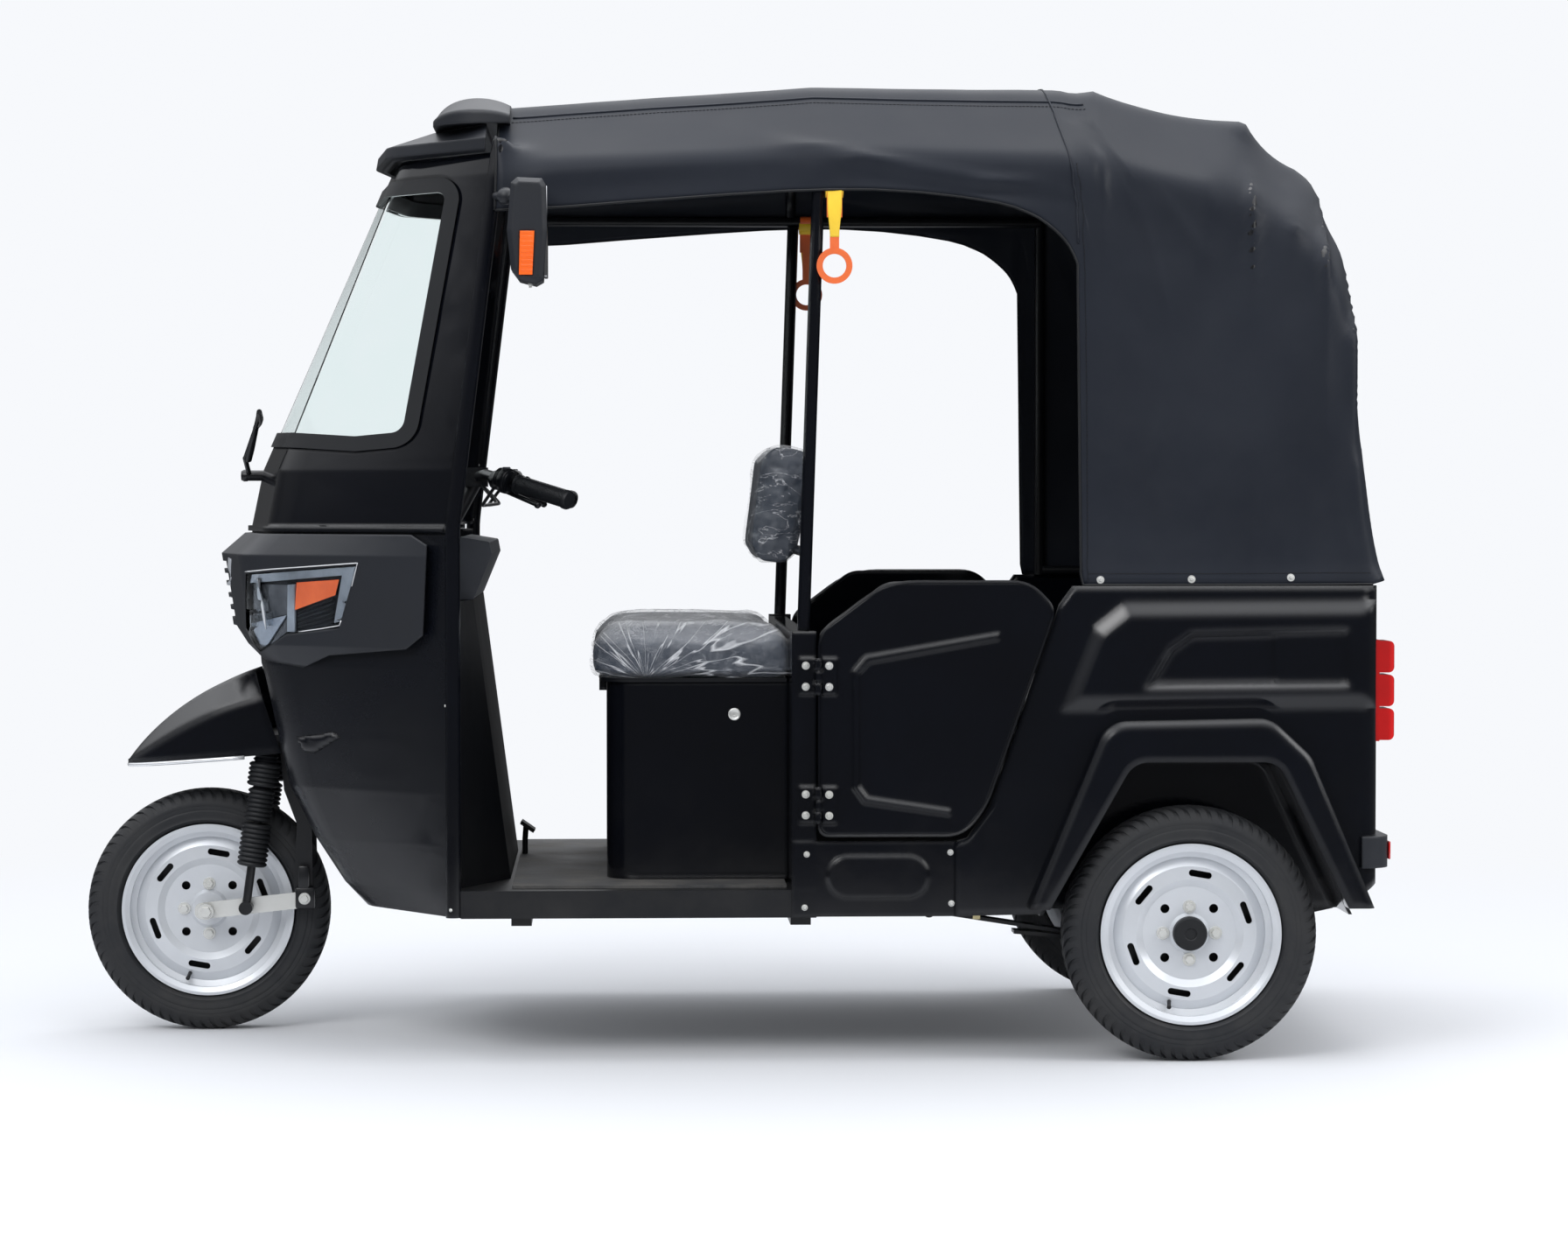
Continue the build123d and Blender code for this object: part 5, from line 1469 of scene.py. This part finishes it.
def filmMaterial():
    # clear plastic: thin and glassy; white along its folds, partly real crease whitening and partly painted
    # highlight, and whiter on faces that look up as a painted sheen
    material = bpy.data.materials.new("clearFilm")
    material.use_nodes = True
    tree = material.node_tree
    tree.nodes.clear()
    result = tree.nodes.new("ShaderNodeOutputMaterial")
    body = tree.nodes.new("ShaderNodeBsdfPrincipled")
    tree.links.new(body.outputs[0], result.inputs[0])
    coords = tree.nodes.new("ShaderNodeTexCoord").outputs["Object"]
    parts = addNode(tree, "ShaderNodeSeparateXYZ", Vector=coords)
    # fans of tight folds run out of the knot on each flank
    dx = math2(tree, "SUBTRACT", parts.outputs["X"], film["gather"][0])
    dz = math2(tree, "SUBTRACT", parts.outputs["Z"], film["gather"][2] - 0.01)
    angle = math2(tree, "ARCTAN2", dz, dx)
    reach = addNode(
        tree, "ShaderNodeCombineXYZ", X=math2(tree, "MULTIPLY", angle, 1.9),
        Y=math2(tree, "MULTIPLY", dx, 2.0), Z=math2(tree, "MULTIPLY", dz, 2.0),
    )
    fan = addNode(
        tree, "ShaderNodeTexNoise",
        {"Scale": 2.6, "Detail": 2.0, "Roughness": 0.5, "Distortion": 0.4}, Vector=reach.outputs[0],
    )
    fanLine = ranged(
        tree, math2(tree, "ABSOLUTE", math2(tree, "SUBTRACT", fan.outputs["Fac"], 0.5)), 0.0, 0.024,
        1.0, 0.0,
    )
    flank = ranged(tree, math2(tree, "ABSOLUTE", parts.outputs["Y"]), 0.36, 0.42, 0.0, 1.0)
    fanLine = math2(tree, "MULTIPLY", fanLine, flank)
    # long folds over the top and the back
    squeezed = addNode(tree, "ShaderNodeMapping", Vector=coords)
    squeezed.inputs["Scale"].default_value = (5.0, 3.0, 14.0)
    squeezed.inputs["Rotation"].default_value = (0.2, 0.3, 0.5)
    long = addNode(
        tree, "ShaderNodeTexNoise",
        {"Scale": 1.7, "Detail": 4.0, "Roughness": 0.6, "Distortion": 1.2},
        Vector=squeezed.outputs[0],
    )
    longLine = ranged(
        tree, math2(tree, "ABSOLUTE", math2(tree, "SUBTRACT", long.outputs["Fac"], 0.5)), 0.0,
        0.016, 0.8, 0.0,
    )
    longLine = math2(
        tree, "MULTIPLY", longLine,
        math2(tree, "SUBTRACT", 1.0, math2(tree, "MULTIPLY", flank, 0.75)),
    )
    fine = addNode(
        tree, "ShaderNodeTexNoise", {"Scale": 60.0, "Detail": 6.0, "Roughness": 0.7}, Vector=coords,
    )
    haze = ranged(tree, fine.outputs["Fac"], 0.40, 0.8, 0.02, 0.14)
    geometry = tree.nodes.new("ShaderNodeNewGeometry")
    facing = addNode(tree, "ShaderNodeSeparateXYZ", Vector=geometry.outputs["Normal"])
    # painted sheen: the film turns whiter on faces that look up
    top = ranged(tree, facing.outputs["Z"], 0.35, 0.95, 0.0, 0.34)
    lines = math2(tree, "MAXIMUM", fanLine, longLine)
    cover = math2(
        tree, "ADD", math2(tree, "ADD", math2(tree, "MULTIPLY", lines, 0.62), haze), top,
        clamp=True,
    )
    tree.links.new(cover, body.inputs["Alpha"])
    body.inputs["Base Color"].default_value = (0.82, 0.83, 0.86, 1)
    tree.links.new(ranged(tree, fine.outputs["Fac"], 0.3, 0.7, 0.12, 0.28), body.inputs["Roughness"])
    raised = addNode(tree, "ShaderNodeBump", {"Strength": 0.6, "Distance": 0.004}, Height=lines)
    tree.links.new(raised.outputs[0], body.inputs["Normal"])
    return material


def filmOver(name, cushion, body, lift, seed):
    mesh = cushion.data.copy()
    thing = placed(name, mesh)
    thin = thing.modifiers.new("thin", "DECIMATE")
    thin.ratio = 0.5
    applyModifiers(thing)
    mesh = thing.data
    normals = [vertex.normal.copy() for vertex in mesh.vertices]
    low = min(vertex.co.z for vertex in mesh.vertices)
    for vertex, normal in zip(mesh.vertices, normals):
        place = Vector((vertex.co.x * 9, vertex.co.y * 7, vertex.co.z * 16 + seed))
        ridge = 1 - abs(noise.noise(place) * 2)
        ridge += 0.5 * (1 - abs(noise.noise(place * 2.3) * 2))
        vertex.co += normal * (lift + film["wrinkle"] * max(0.0, ridge - 0.6))
        vertex.co.z = max(vertex.co.z, low - 0.0004)
    mesh.materials.clear()
    mesh.materials.append(clearFilm)
    for face in mesh.polygons:
        face.use_smooth = True
    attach(thing, body)
    return thing


clearFilm = filmMaterial()
filmOver("cushionFilm", driverCushion, "driver_seat", film["lift"], 2.0)
filmOver("backrestFilm", driverBackrest, "chassis", film["backLift"], 7.0)
print("film made")


# ---- headlamps
lamps = {
    "lens": [(98, 842), (105, 951), (335, 971), (299, 848), (190, 833), (132, 796)],
    "bracket": [(110, 933), (116, 950), (331, 969), (305, 860), (287, 857), (304, 951)],
    "upright": [(191, 931), (206, 932), (205, 837), (189, 837)],
    "fins": 6,
    # the reflector bowl: a pale upper patch of painted highlight, with darker lower and side patches of
    # painted shade
    "bowlDark": [(110, 931), (188, 930), (187, 872), (104, 852)],
    "bowlPale": [(104, 850), (187, 870), (142, 805), (132, 799)],
    "bowlSide": [(188, 868), (188, 838), (146, 806)],
    "chromeLine": [(103, 956), (160, 962), (250, 969), (338, 976), (326, 930)],
    "chromeFoot": [(216, 838), (262, 845), (300, 852), (304, 862)],
    "back": [(100, 843), (107, 949), (333, 968), (297, 850), (190, 835), (133, 799)],
    "strip": [(54, 982), (63, 979), (44, 862), (50, 832), (41, 828), (33, 858)],
}
lampSkin = skinOf("headlamp_units", "amber_lenses")
cowlSkin = skinOf("headlamp_cowl", "headlamp_units")


def lampPlace(points):
    return [(ahead(x), z / 1000) for x, z in points]


def lineOn(name, skin, points, lift, radius, material, step=0.008):
    path = []
    for a, b in zip(points, points[1:]):
        parts = max(1, int(math.hypot(b[0] - a[0], b[1] - a[1]) / 1000 / step))
        path += [(between(a[0], b[0], k / parts), between(a[1], b[1], k / parts)) for k in range(parts)]
    path.append(points[-1])
    return tube(name, [onSkin(skin, ahead(x), z / 1000, lift)[0] for x, z in path], radius, material, 8)


def lampPart(key, lift, thick, material, bevel=0.0):
    name = "lamp" + key[0].upper() + key[1:]
    return skinPatch(name, lampPlace(lamps[key]), lampSkin, lift, thick, material, bevel=bevel)


def makeHeadlamps():
    pieces = [lampPart(key, -0.0030, 0.0060, lightGuide, 0.0012) for key in ("bracket", "upright")]
    for k in range(lamps["fins"]):
        left, right = 877 - 7.4 * k, 905 - 9.4 * k
        fin = lampPlace([(211, left), (284, right), (284, right - 3.4), (211, left - 3.2)])
        pieces.append(skinPatch(
            "lampFin%d" % k, fin, lampSkin, -0.0035, 0.0060, charcoalPlastic, bevel=0.0006,
        ))
    # the bowl's painted shade low down and at the side, and its painted highlight on the upper part
    pieces.append(lampPart("bowlDark", -0.0110, 0.0020, paintedShadeBowl))
    pieces.append(lampPart("bowlPale", -0.0060, 0.0060, bowlPale, 0.0008))
    pieces.append(lampPart("bowlSide", -0.0090, 0.0030, paintedShadeBowl, 0.0008))
    pieces.append(lampPart("back", -0.0128, 0.0008, blackRubber))
    bothSides("lampInsides", joined("lampInsidesNear", *pieces), "chassis")
    lens = lampPart("lens", 0.0006, 0.0012, clearLens)
    lens = joined("lampLenses", lens, mirroredCopy(lens, "lampLensFar"))
    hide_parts("headlamp_units")
    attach(lens, "chassis")
    top = lineOn("lampChromeTop", cowlSkin, lamps["chromeLine"], 0.0004, 0.0012, chromePlate)
    foot = lineOn("lampChromeFoot", cowlSkin, lamps["chromeFoot"], 0.0004, 0.0010, chromePlate)
    bothSides("lampChrome", joined("lampChromeNear", top, foot), "chassis")
    strip = skinPatch(
        "noseStrip", lampPlace(lamps["strip"]), cowlSkin, 0.0010, 0.0035, silverPaint, bevel=0.0008,
    )
    bothSides("noseStrips", strip, "chassis")


# two copies of the bowl's metal: the dark one is painted shade, the pale one is painted highlight
paintedShadeBowl = surface(
    "paintedShadeBowl", (0.16, 0.165, 0.175), (0.14, 0.22), second=(0.05, 0.052, 0.058), grain=30,
    bump=0.02, patch=14, Metallic=0.5,
)
bowlPale = surface(
    "bowlPale", (0.42, 0.45, 0.50), (0.16, 0.24), second=(0.34, 0.37, 0.42), grain=30, bump=0.02,
    patch=14, Metallic=0.4,
)
makeHeadlamps()
print("headlamps made")


# ---- screws and bolts
bolts = {
    "hinges": [0.506, 0.757], "leaf": 0.0205, "frameLeaf": (0.145, -0.604), "doorLeaf": (0.190, -0.616),
    "skirt": [(0.147, 0.409), (0.428, 0.412), (0.430, 0.312), (0.143, 0.305)], "skirtY": -0.601,
    "hem": [(0.722, 0.944), (0.901, 0.945), (1.097, 0.948)],
}


def near(points, y):
    return [((x, y, z), (0, -1, 0)) for x, z in points]


def onlyFar(spots):
    return [((p[0], -p[1], p[2]), (f[0], -f[1], f[2])) for p, f in spots]


def withFar(spots):
    return spots + onlyFar(spots)


def leafBolts(x, y):
    return near([(x, height + way * bolts["leaf"]) for height in bolts["hinges"] for way in (-1, 1)], y)


hemScrews = []
for x, z in bolts["hem"]:
    hit, normal, index, distance = canopyTree.ray_cast(Vector((x, -1, z)), Vector((0, 1, 0)))
    hemScrews.append((tuple(hit), tuple(normal if normal.y < 0 else -normal)))
fasteners("bodyBolts", withFar(leafBolts(*bolts["frameLeaf"])), "chassis", "hingeBolt")
fasteners("skirtScrews", withFar(near(bolts["skirt"], bolts["skirtY"])), "chassis", "skirtScrew")
fasteners("hemScrews", withFar(hemScrews), "chassis", "hemScrew")
fasteners("doorLeftBolts", leafBolts(*bolts["doorLeaf"]), "door_left", "hingeBolt")
fasteners("doorRightBolts", onlyFar(leafBolts(*bolts["doorLeaf"])), "door_right", "hingeBolt")
print("fasteners made")


# ---- trims and small parts
trims = {
    "fenderHem": [(-164, 22), (-140, 52), (-120, 72), (-84, 95), (-44, 112), (0, 126), (40, 132), (84, 135)],
    "door": [(171, 446), (171, 842), (302, 941), (582, 941), (632, 888), (496, 500), (451, 446)],
    "doorBends": [0.020, 0.030, 0.060, 0.050, 0.024, 0.040, 0.040],
    "scoop": [(207, 627), (222, 597), (245, 594), (300, 628), (285, 640), (238, 630)],
    "seatLock": [
        (-0.002, 0.0), (-0.002, 0.0125), (0.0015, 0.0120), (0.0022, 0.0095), (0.0016, 0.0085),
        (0.0016, 0.0030), (0.0006, 0.0024), (0.0006, 0.0),
    ],
    "tubeScrews": [
        (-549, 1175), (-556, 1119), (-561, 1055), (-561, 1004), (-563, 892), (-556, 700),
        (-546, 303),
    ],
}


def makeFenderTrim():
    skin = skinOf("front_fender")
    paths = []
    for side in (-1, 1):
        path = []
        for x, half in trims["fenderHem"]:
            hem = 552 + (x + 166) * 30 / 342
            place = Vector((ahead(x), side * half / 1000, hem / 1000))
            hit, normal, index, distance = skin.find_nearest(place)
            path.append(hit + Vector((0, side * 0.0012, -0.0016)))
        paths.append(path)
    nose = [(paths[0][0] + paths[1][0]) / 2 + Vector((-0.0015, 0, 0))]
    path = list(reversed(paths[0])) + nose + paths[1]
    trim = tube("fenderTrim", roundedPath(path, 0.02, 3), 0.0042, chromePlate, 10)
    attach(trim, "steering")


def makeDoorBeads():
    outline = rounded2d([(x / 1000, z / 1000) for x, z in trims["door"]], trims["doorBends"], 6)
    for side, body in ((-1, "door_left"), (1, "door_right")):
        bead = tube(
            "doorBead" + ("Left" if side < 0 else "Right"),
            [(x, side * 0.6112, z) for x, z in outline], 0.0030, glossBlack, 8, closed=True,
        )
        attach(bead, body)


mirror = {
    "glass": [(-0.7345, 1.6980), (-0.6350, 1.6980), (-0.6350, 1.5260), (-0.7345, 1.5260)],
    "glassX": (704.5, 711.6), "glassSet": 0.0045,
    "bolt": [(0, 0), (0, 0.0048), (0.004, 0.0046), (0.0055, 0.003), (0.0085, 0.003), (0.0085, 0)],
    "ribs": 9, "ribFoot": 1.5345, "ribPitch": 0.0090, "ribHigh": 0.0045,
}


def makeMirrorParts():
    # glass on the face toward the driver, a bolt underneath, ribs on the repeater
    glass = prism("mirrorGlassLeft", mirror["glass"], *map(ahead, mirror["glassX"]), mirrorGlass, "X", 0.002)
    glass.data.transform(Matrix.Translation((mirror["glassSet"], 0, 0)))
    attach(glass, "chassis")
    bolt = spun("mirrorBolt", mirror["bolt"], (ahead(683), -0.688, 1.5150), (0, 0, -1), zincPlate, 16)
    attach(softEdges(bolt, 40), "chassis")
    ribs = []
    for k in range(mirror["ribs"]):
        z = mirror["ribFoot"] + k * mirror["ribPitch"]
        low, high = (ahead(666.5), -0.7490, z), (ahead(688.0), -0.7476, z + mirror["ribHigh"])
        ribs.append(block("repeaterRib%d" % k, low, high, amberLens, 0.0005, 1))
    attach(joined("repeaterRibs", *ribs), "chassis")


grips = {
    "ends": [(647, 0.330, 1.132), (753, 0.400, 1.099)], "ribs": 22, "ribsFrom": 0.010, "plain": 0.024,
    "flange": [(0.002, 0.0168), (0.002, 0.0196), (0.0045, 0.0205), (0.0070, 0.0196), (0.0074, 0.0178)],
    "housing": [
        (-0.017, 0.0), (-0.017, 0.0200), (-0.014, 0.0228), (0.010, 0.0232), (0.015, 0.0210),
        (0.015, 0.0),
    ],
    "collar": [
        (-0.007, 0.0), (-0.007, 0.0250), (-0.005, 0.0262), (0.005, 0.0262), (0.007, 0.0250),
        (0.007, 0.0),
    ],
    "knob": [(-0.007, 0), (-0.006, 0.0045), (-0.002, 0.0072), (0.002, 0.0072), (0.006, 0.0045), (0.007, 0)],
}


def makeHandGrips():
    inner, outer = [Vector((ahead(x), y, z)) for x, y, z in grips["ends"]]
    run = (outer - inner).normalized()
    length = (outer - inner).length
    profile = list(grips["flange"])
    ribs, ribbed = grips["ribs"], length - grips["plain"]
    pitch = ribbed / ribs
    for k in range(ribs):
        start = grips["ribsFrom"] + k * ribbed / ribs
        profile += [(start, 0.0174), (start + pitch * 0.3, 0.0179), (start + pitch * 0.7, 0.0179)]
    profile += [
        (length - 0.012, 0.0180), (length - 0.010, 0.0196), (length - 0.003, 0.0198),
        (length + 0.0010, 0.0180), (length + 0.0016, 0.0), (0.002, 0.0),
    ]
    for side in (-1, 1):
        flip = Matrix.Scale(-1, 4, (0, 1, 0)) if side < 0 else Matrix.Identity(4)
        grip = spun("grip", profile, inner, run, blackRubber, 40)
        softEdges(grip, 50)
        # switch housing with a clamp collar and a rocker, the lever's perch and its knob
        hub = inner - run * 0.030
        housing = spun("housing", grips["housing"], hub, run, satinBlack, 36)
        softEdges(housing, 40)
        collar = spun("collar", grips["collar"], hub + run * 0.004, run, satinBlack, 36)
        softEdges(collar, 40)
        rocker = block(
            "rocker", tuple(hub + Vector((-0.004, 0.0, 0.0195))),
            tuple(hub + Vector((0.012, 0.012, 0.0265))), greyPlastic, 0.0015,
        )
        perch = block("perch", (ahead(596), 0.250, 1.1205), (ahead(626), 0.280, 1.1420), satinBlack, 0.004)
        knob = spun(
            "leverKnob", grips["knob"], (ahead(690), 0.372, 1.090), (0.6, 0.75, -0.25), satinBlack,
            16,
        )
        controls = joined(
            "gripControls" + ("Left" if side < 0 else "Right"), grip, housing, collar, rocker,
            perch, knob,
        )
        controls.data.transform(flip)
        if side < 0:
            controls.data.flip_normals()
        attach(controls, "steering")


wiper = {
    # places on the run, and the radius at each
    "wiperCover": (
        [(90, -0.086, 1.182), (97, -0.108, 1.205), (112, -0.150, 1.246)], [0.0075, 0.0085, 0.0055],
    ),
    "wiperCarrier": (
        [(101, -0.035, 1.2475), (114, -0.110, 1.2580), (122, -0.180, 1.2650), (132, -0.305, 1.2765)],
        [0.0055, 0.0075, 0.0080, 0.0055],
    ),
}
wiperNut = [(-0.004, 0), (-0.004, 0.012), (0.003, 0.0125), (0.009, 0.0095), (0.010, 0)]


def makeWiperParts():
    # a sprung arm cover and the blade's carrier over its rubber
    cover, carrier = [tube(name, [(ahead(x), y, z) for x, y, z in path], radii, satinBlack, 12)
        for name, (path, radii) in wiper.items()]
    nut = spun("wiperNut", wiperNut, (ahead(80), -0.030, 1.150), (-1, 0, 0), satinBlack, 24)
    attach(joined("wiperParts", softEdges(cover, 40), softEdges(carrier, 40), softEdges(nut, 40)), "chassis")


def makeSeatLock():
    point, normal = onSkin(skinOf("seat_box"), 0.011, 0.674)
    lock = spun("seatLock", trims["seatLock"], point, normal, zincPlate, 32)
    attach(softEdges(lock, 35), "chassis")


def makeStraps():
    # yellow webbing round the rail, over the orange strap's top
    sleeves = []
    for side in (-1, 1):
        y = side * 0.579
        points, faces = [], []
        rows, columns = 24, 6
        for row in range(rows + 1):
            t = row / rows
            wide = 0.0140 - 0.0050 * smoothStep((t - 0.30) / 0.70)
            for column in range(columns + 1):
                u = column / columns * 2 - 1
                twist = 0.0016 * math.sin(t * 5.0 + u)
                points.append((
                    0.202 + u * wide, y + side * (0.0026 + twist + 0.0010 * u * u),
                    1.702 - 0.090 * t,
                ))
        for row in range(rows):
            for column in range(columns):
                a = row * (columns + 1) + column
                faces.append((a, a + 1, a + columns + 2, a + columns + 1))
        band = meshObject("strapBand", points, faces, yellowStrap)
        wall = band.modifiers.new("wall", "SOLIDIFY")
        wall.thickness = 0.0014
        wall.offset = 0
        applyModifiers(band)
        ring = spun(
            "strapLoop",
            [(-0.0172, 0.0136), (0.0172, 0.0136), (0.0172, 0.0150), (-0.0172, 0.0150), (-0.0172, 0.0136)],
            (0.202, side * 0.566, 1.704), (1, 0, 0), yellowStrap, 32,
        )
        sleeves += [band, softEdges(ring, 40)]
    straps = joined("strapSleeves", *sleeves)
    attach(straps, "chassis")


def makeRearParts():
    # a red reflector in each corner of the bumper, a brass clip on each spring
    reflectors, clips = [], []
    for side in (-1, 1):
        reflectors.append(block(
            "reflector", (1.2965, side * 0.54 - 0.028, 0.392), (1.3005, side * 0.54 + 0.028, 0.428),
            redLens, 0.003,
        ))
        clips.append(block(
            "clip", (0.487, side * 0.397 - 0.029, 0.262), (0.503, side * 0.397 + 0.029, 0.300),
            brassPlate, 0.002,
        ))
    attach(joined("bumperReflectors", *reflectors), "chassis")
    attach(joined("springClips", *clips), "chassis")


def makeScoop():
    scoop = skinPatch(
        "noseScoop", lampPlace(trims["scoop"]), skinOf("nose_panel"), 0.0006, 0.0010, glossBlack,
        step=0.007, lifts=0.0055,
    )
    softEdges(scoop, 75)
    bothSides("noseScoops", scoop, "chassis")


def makeLinkParts():
    # axle nuts and pivot bolts on the front links
    spots = [((frontX, side * -0.0925, wheelZ), (0, side * -1, 0)) for side in (1, -1)]
    fasteners("frontAxleNuts", spots, "steering", "axleNut")
    pivots = [((ahead(203), side * -0.0955, 0.277), (0, side * -1, 0)) for side in (1, -1)]
    fasteners("linkPivotBolts", pivots, "steering", "linkBolt")


def makeTubeScrews():
    skin = skinOf("cabin_tubes")
    spots = []
    for x, z in trims["tubeScrews"]:
        point, normal = onSkin(skin, x / 1000, z / 1000)
        spots.append((tuple(point - normal * 0.0004), tuple(normal)))
    fasteners("tubeScrews", withFar(spots), "chassis", "tubeScrew")


def makeDrums():
    # a black brake drum behind each disc closes the view through its slots
    for name, x, y, out, body, node in wheelPlaces:
        foot = (x, y - out * wheel["drumSet"], wheelZ)
        drum = spun(name + "Drum", wheel["drum"], foot, (0, -out, 0), satinBlack, 64)
        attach(softEdges(drum, 40), body)


forging = {"y": (0.0805, 0.0955), "foot": [(184, 0.256), (224, 0.300)], "ear": [(190, 0.296), (212, 0.345)]}


def makeForkClevis():
    # the black forging that holds each front link's rear end
    pieces = []
    for side in (-1, 1):
        low, high = sorted(side * y for y in forging["y"])
        for part in ("foot", "ear"):
            (x0, z0), (x1, z1) = forging[part]
            pieces.append(block("clevis", (ahead(x0), low, z0), (ahead(x1), high, z1), satinBlack, 0.004))
    clevis = joined("forkClevis", *pieces)
    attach(clevis, "steering")


boots = {
    "foot": (83, 0.259), "head": (130, 0.600), "out": 0.1003,
    "covers": [(0.088, 0.176, 0.0310, 9), (0.182, 0.248, 0.0275, 7), (0.254, 0.302, 0.0325, 5)],
}


def makeShockBoots():
    # fuller rubber over the upper and lower spring covers
    low, high = [Vector((ahead(x), 0.0, z)) for x, z in (boots["foot"], boots["head"])]
    run = (high - low).normalized()
    pieces = []
    for side in (-1, 1):
        foot = low + Vector((0, side * boots["out"], 0))
        for start, end, radius, ribs in boots["covers"]:
            pitch = (end - start) / ribs
            profile = [(start, 0.0)]
            for k in range(ribs):
                at = start + k * pitch
                profile += [
                    (at, radius - 0.0045), (at + pitch * 0.3, radius - 0.0006),
                    (at + pitch * 0.5, radius), (at + pitch * 0.7, radius - 0.0006),
                ]
            profile += [(end, radius - 0.0045), (end, 0.0), (start, 0.0)]
            pieces.append(softEdges(spun("boot", profile, foot, run, blackRubber, 32), 50))
    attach(joined("shockBoots", *pieces), "steering")


for makeTrim in (
    makeDrums, makeShockBoots, makeForkClevis, makeFenderTrim, makeDoorBeads, makeMirrorParts,
    makeHandGrips, makeWiperParts, makeSeatLock, makeStraps, makeRearParts, makeScoop,
    makeLinkParts, makeTubeScrews,
):
    makeTrim()
print("trims made")

print("all pieces made")
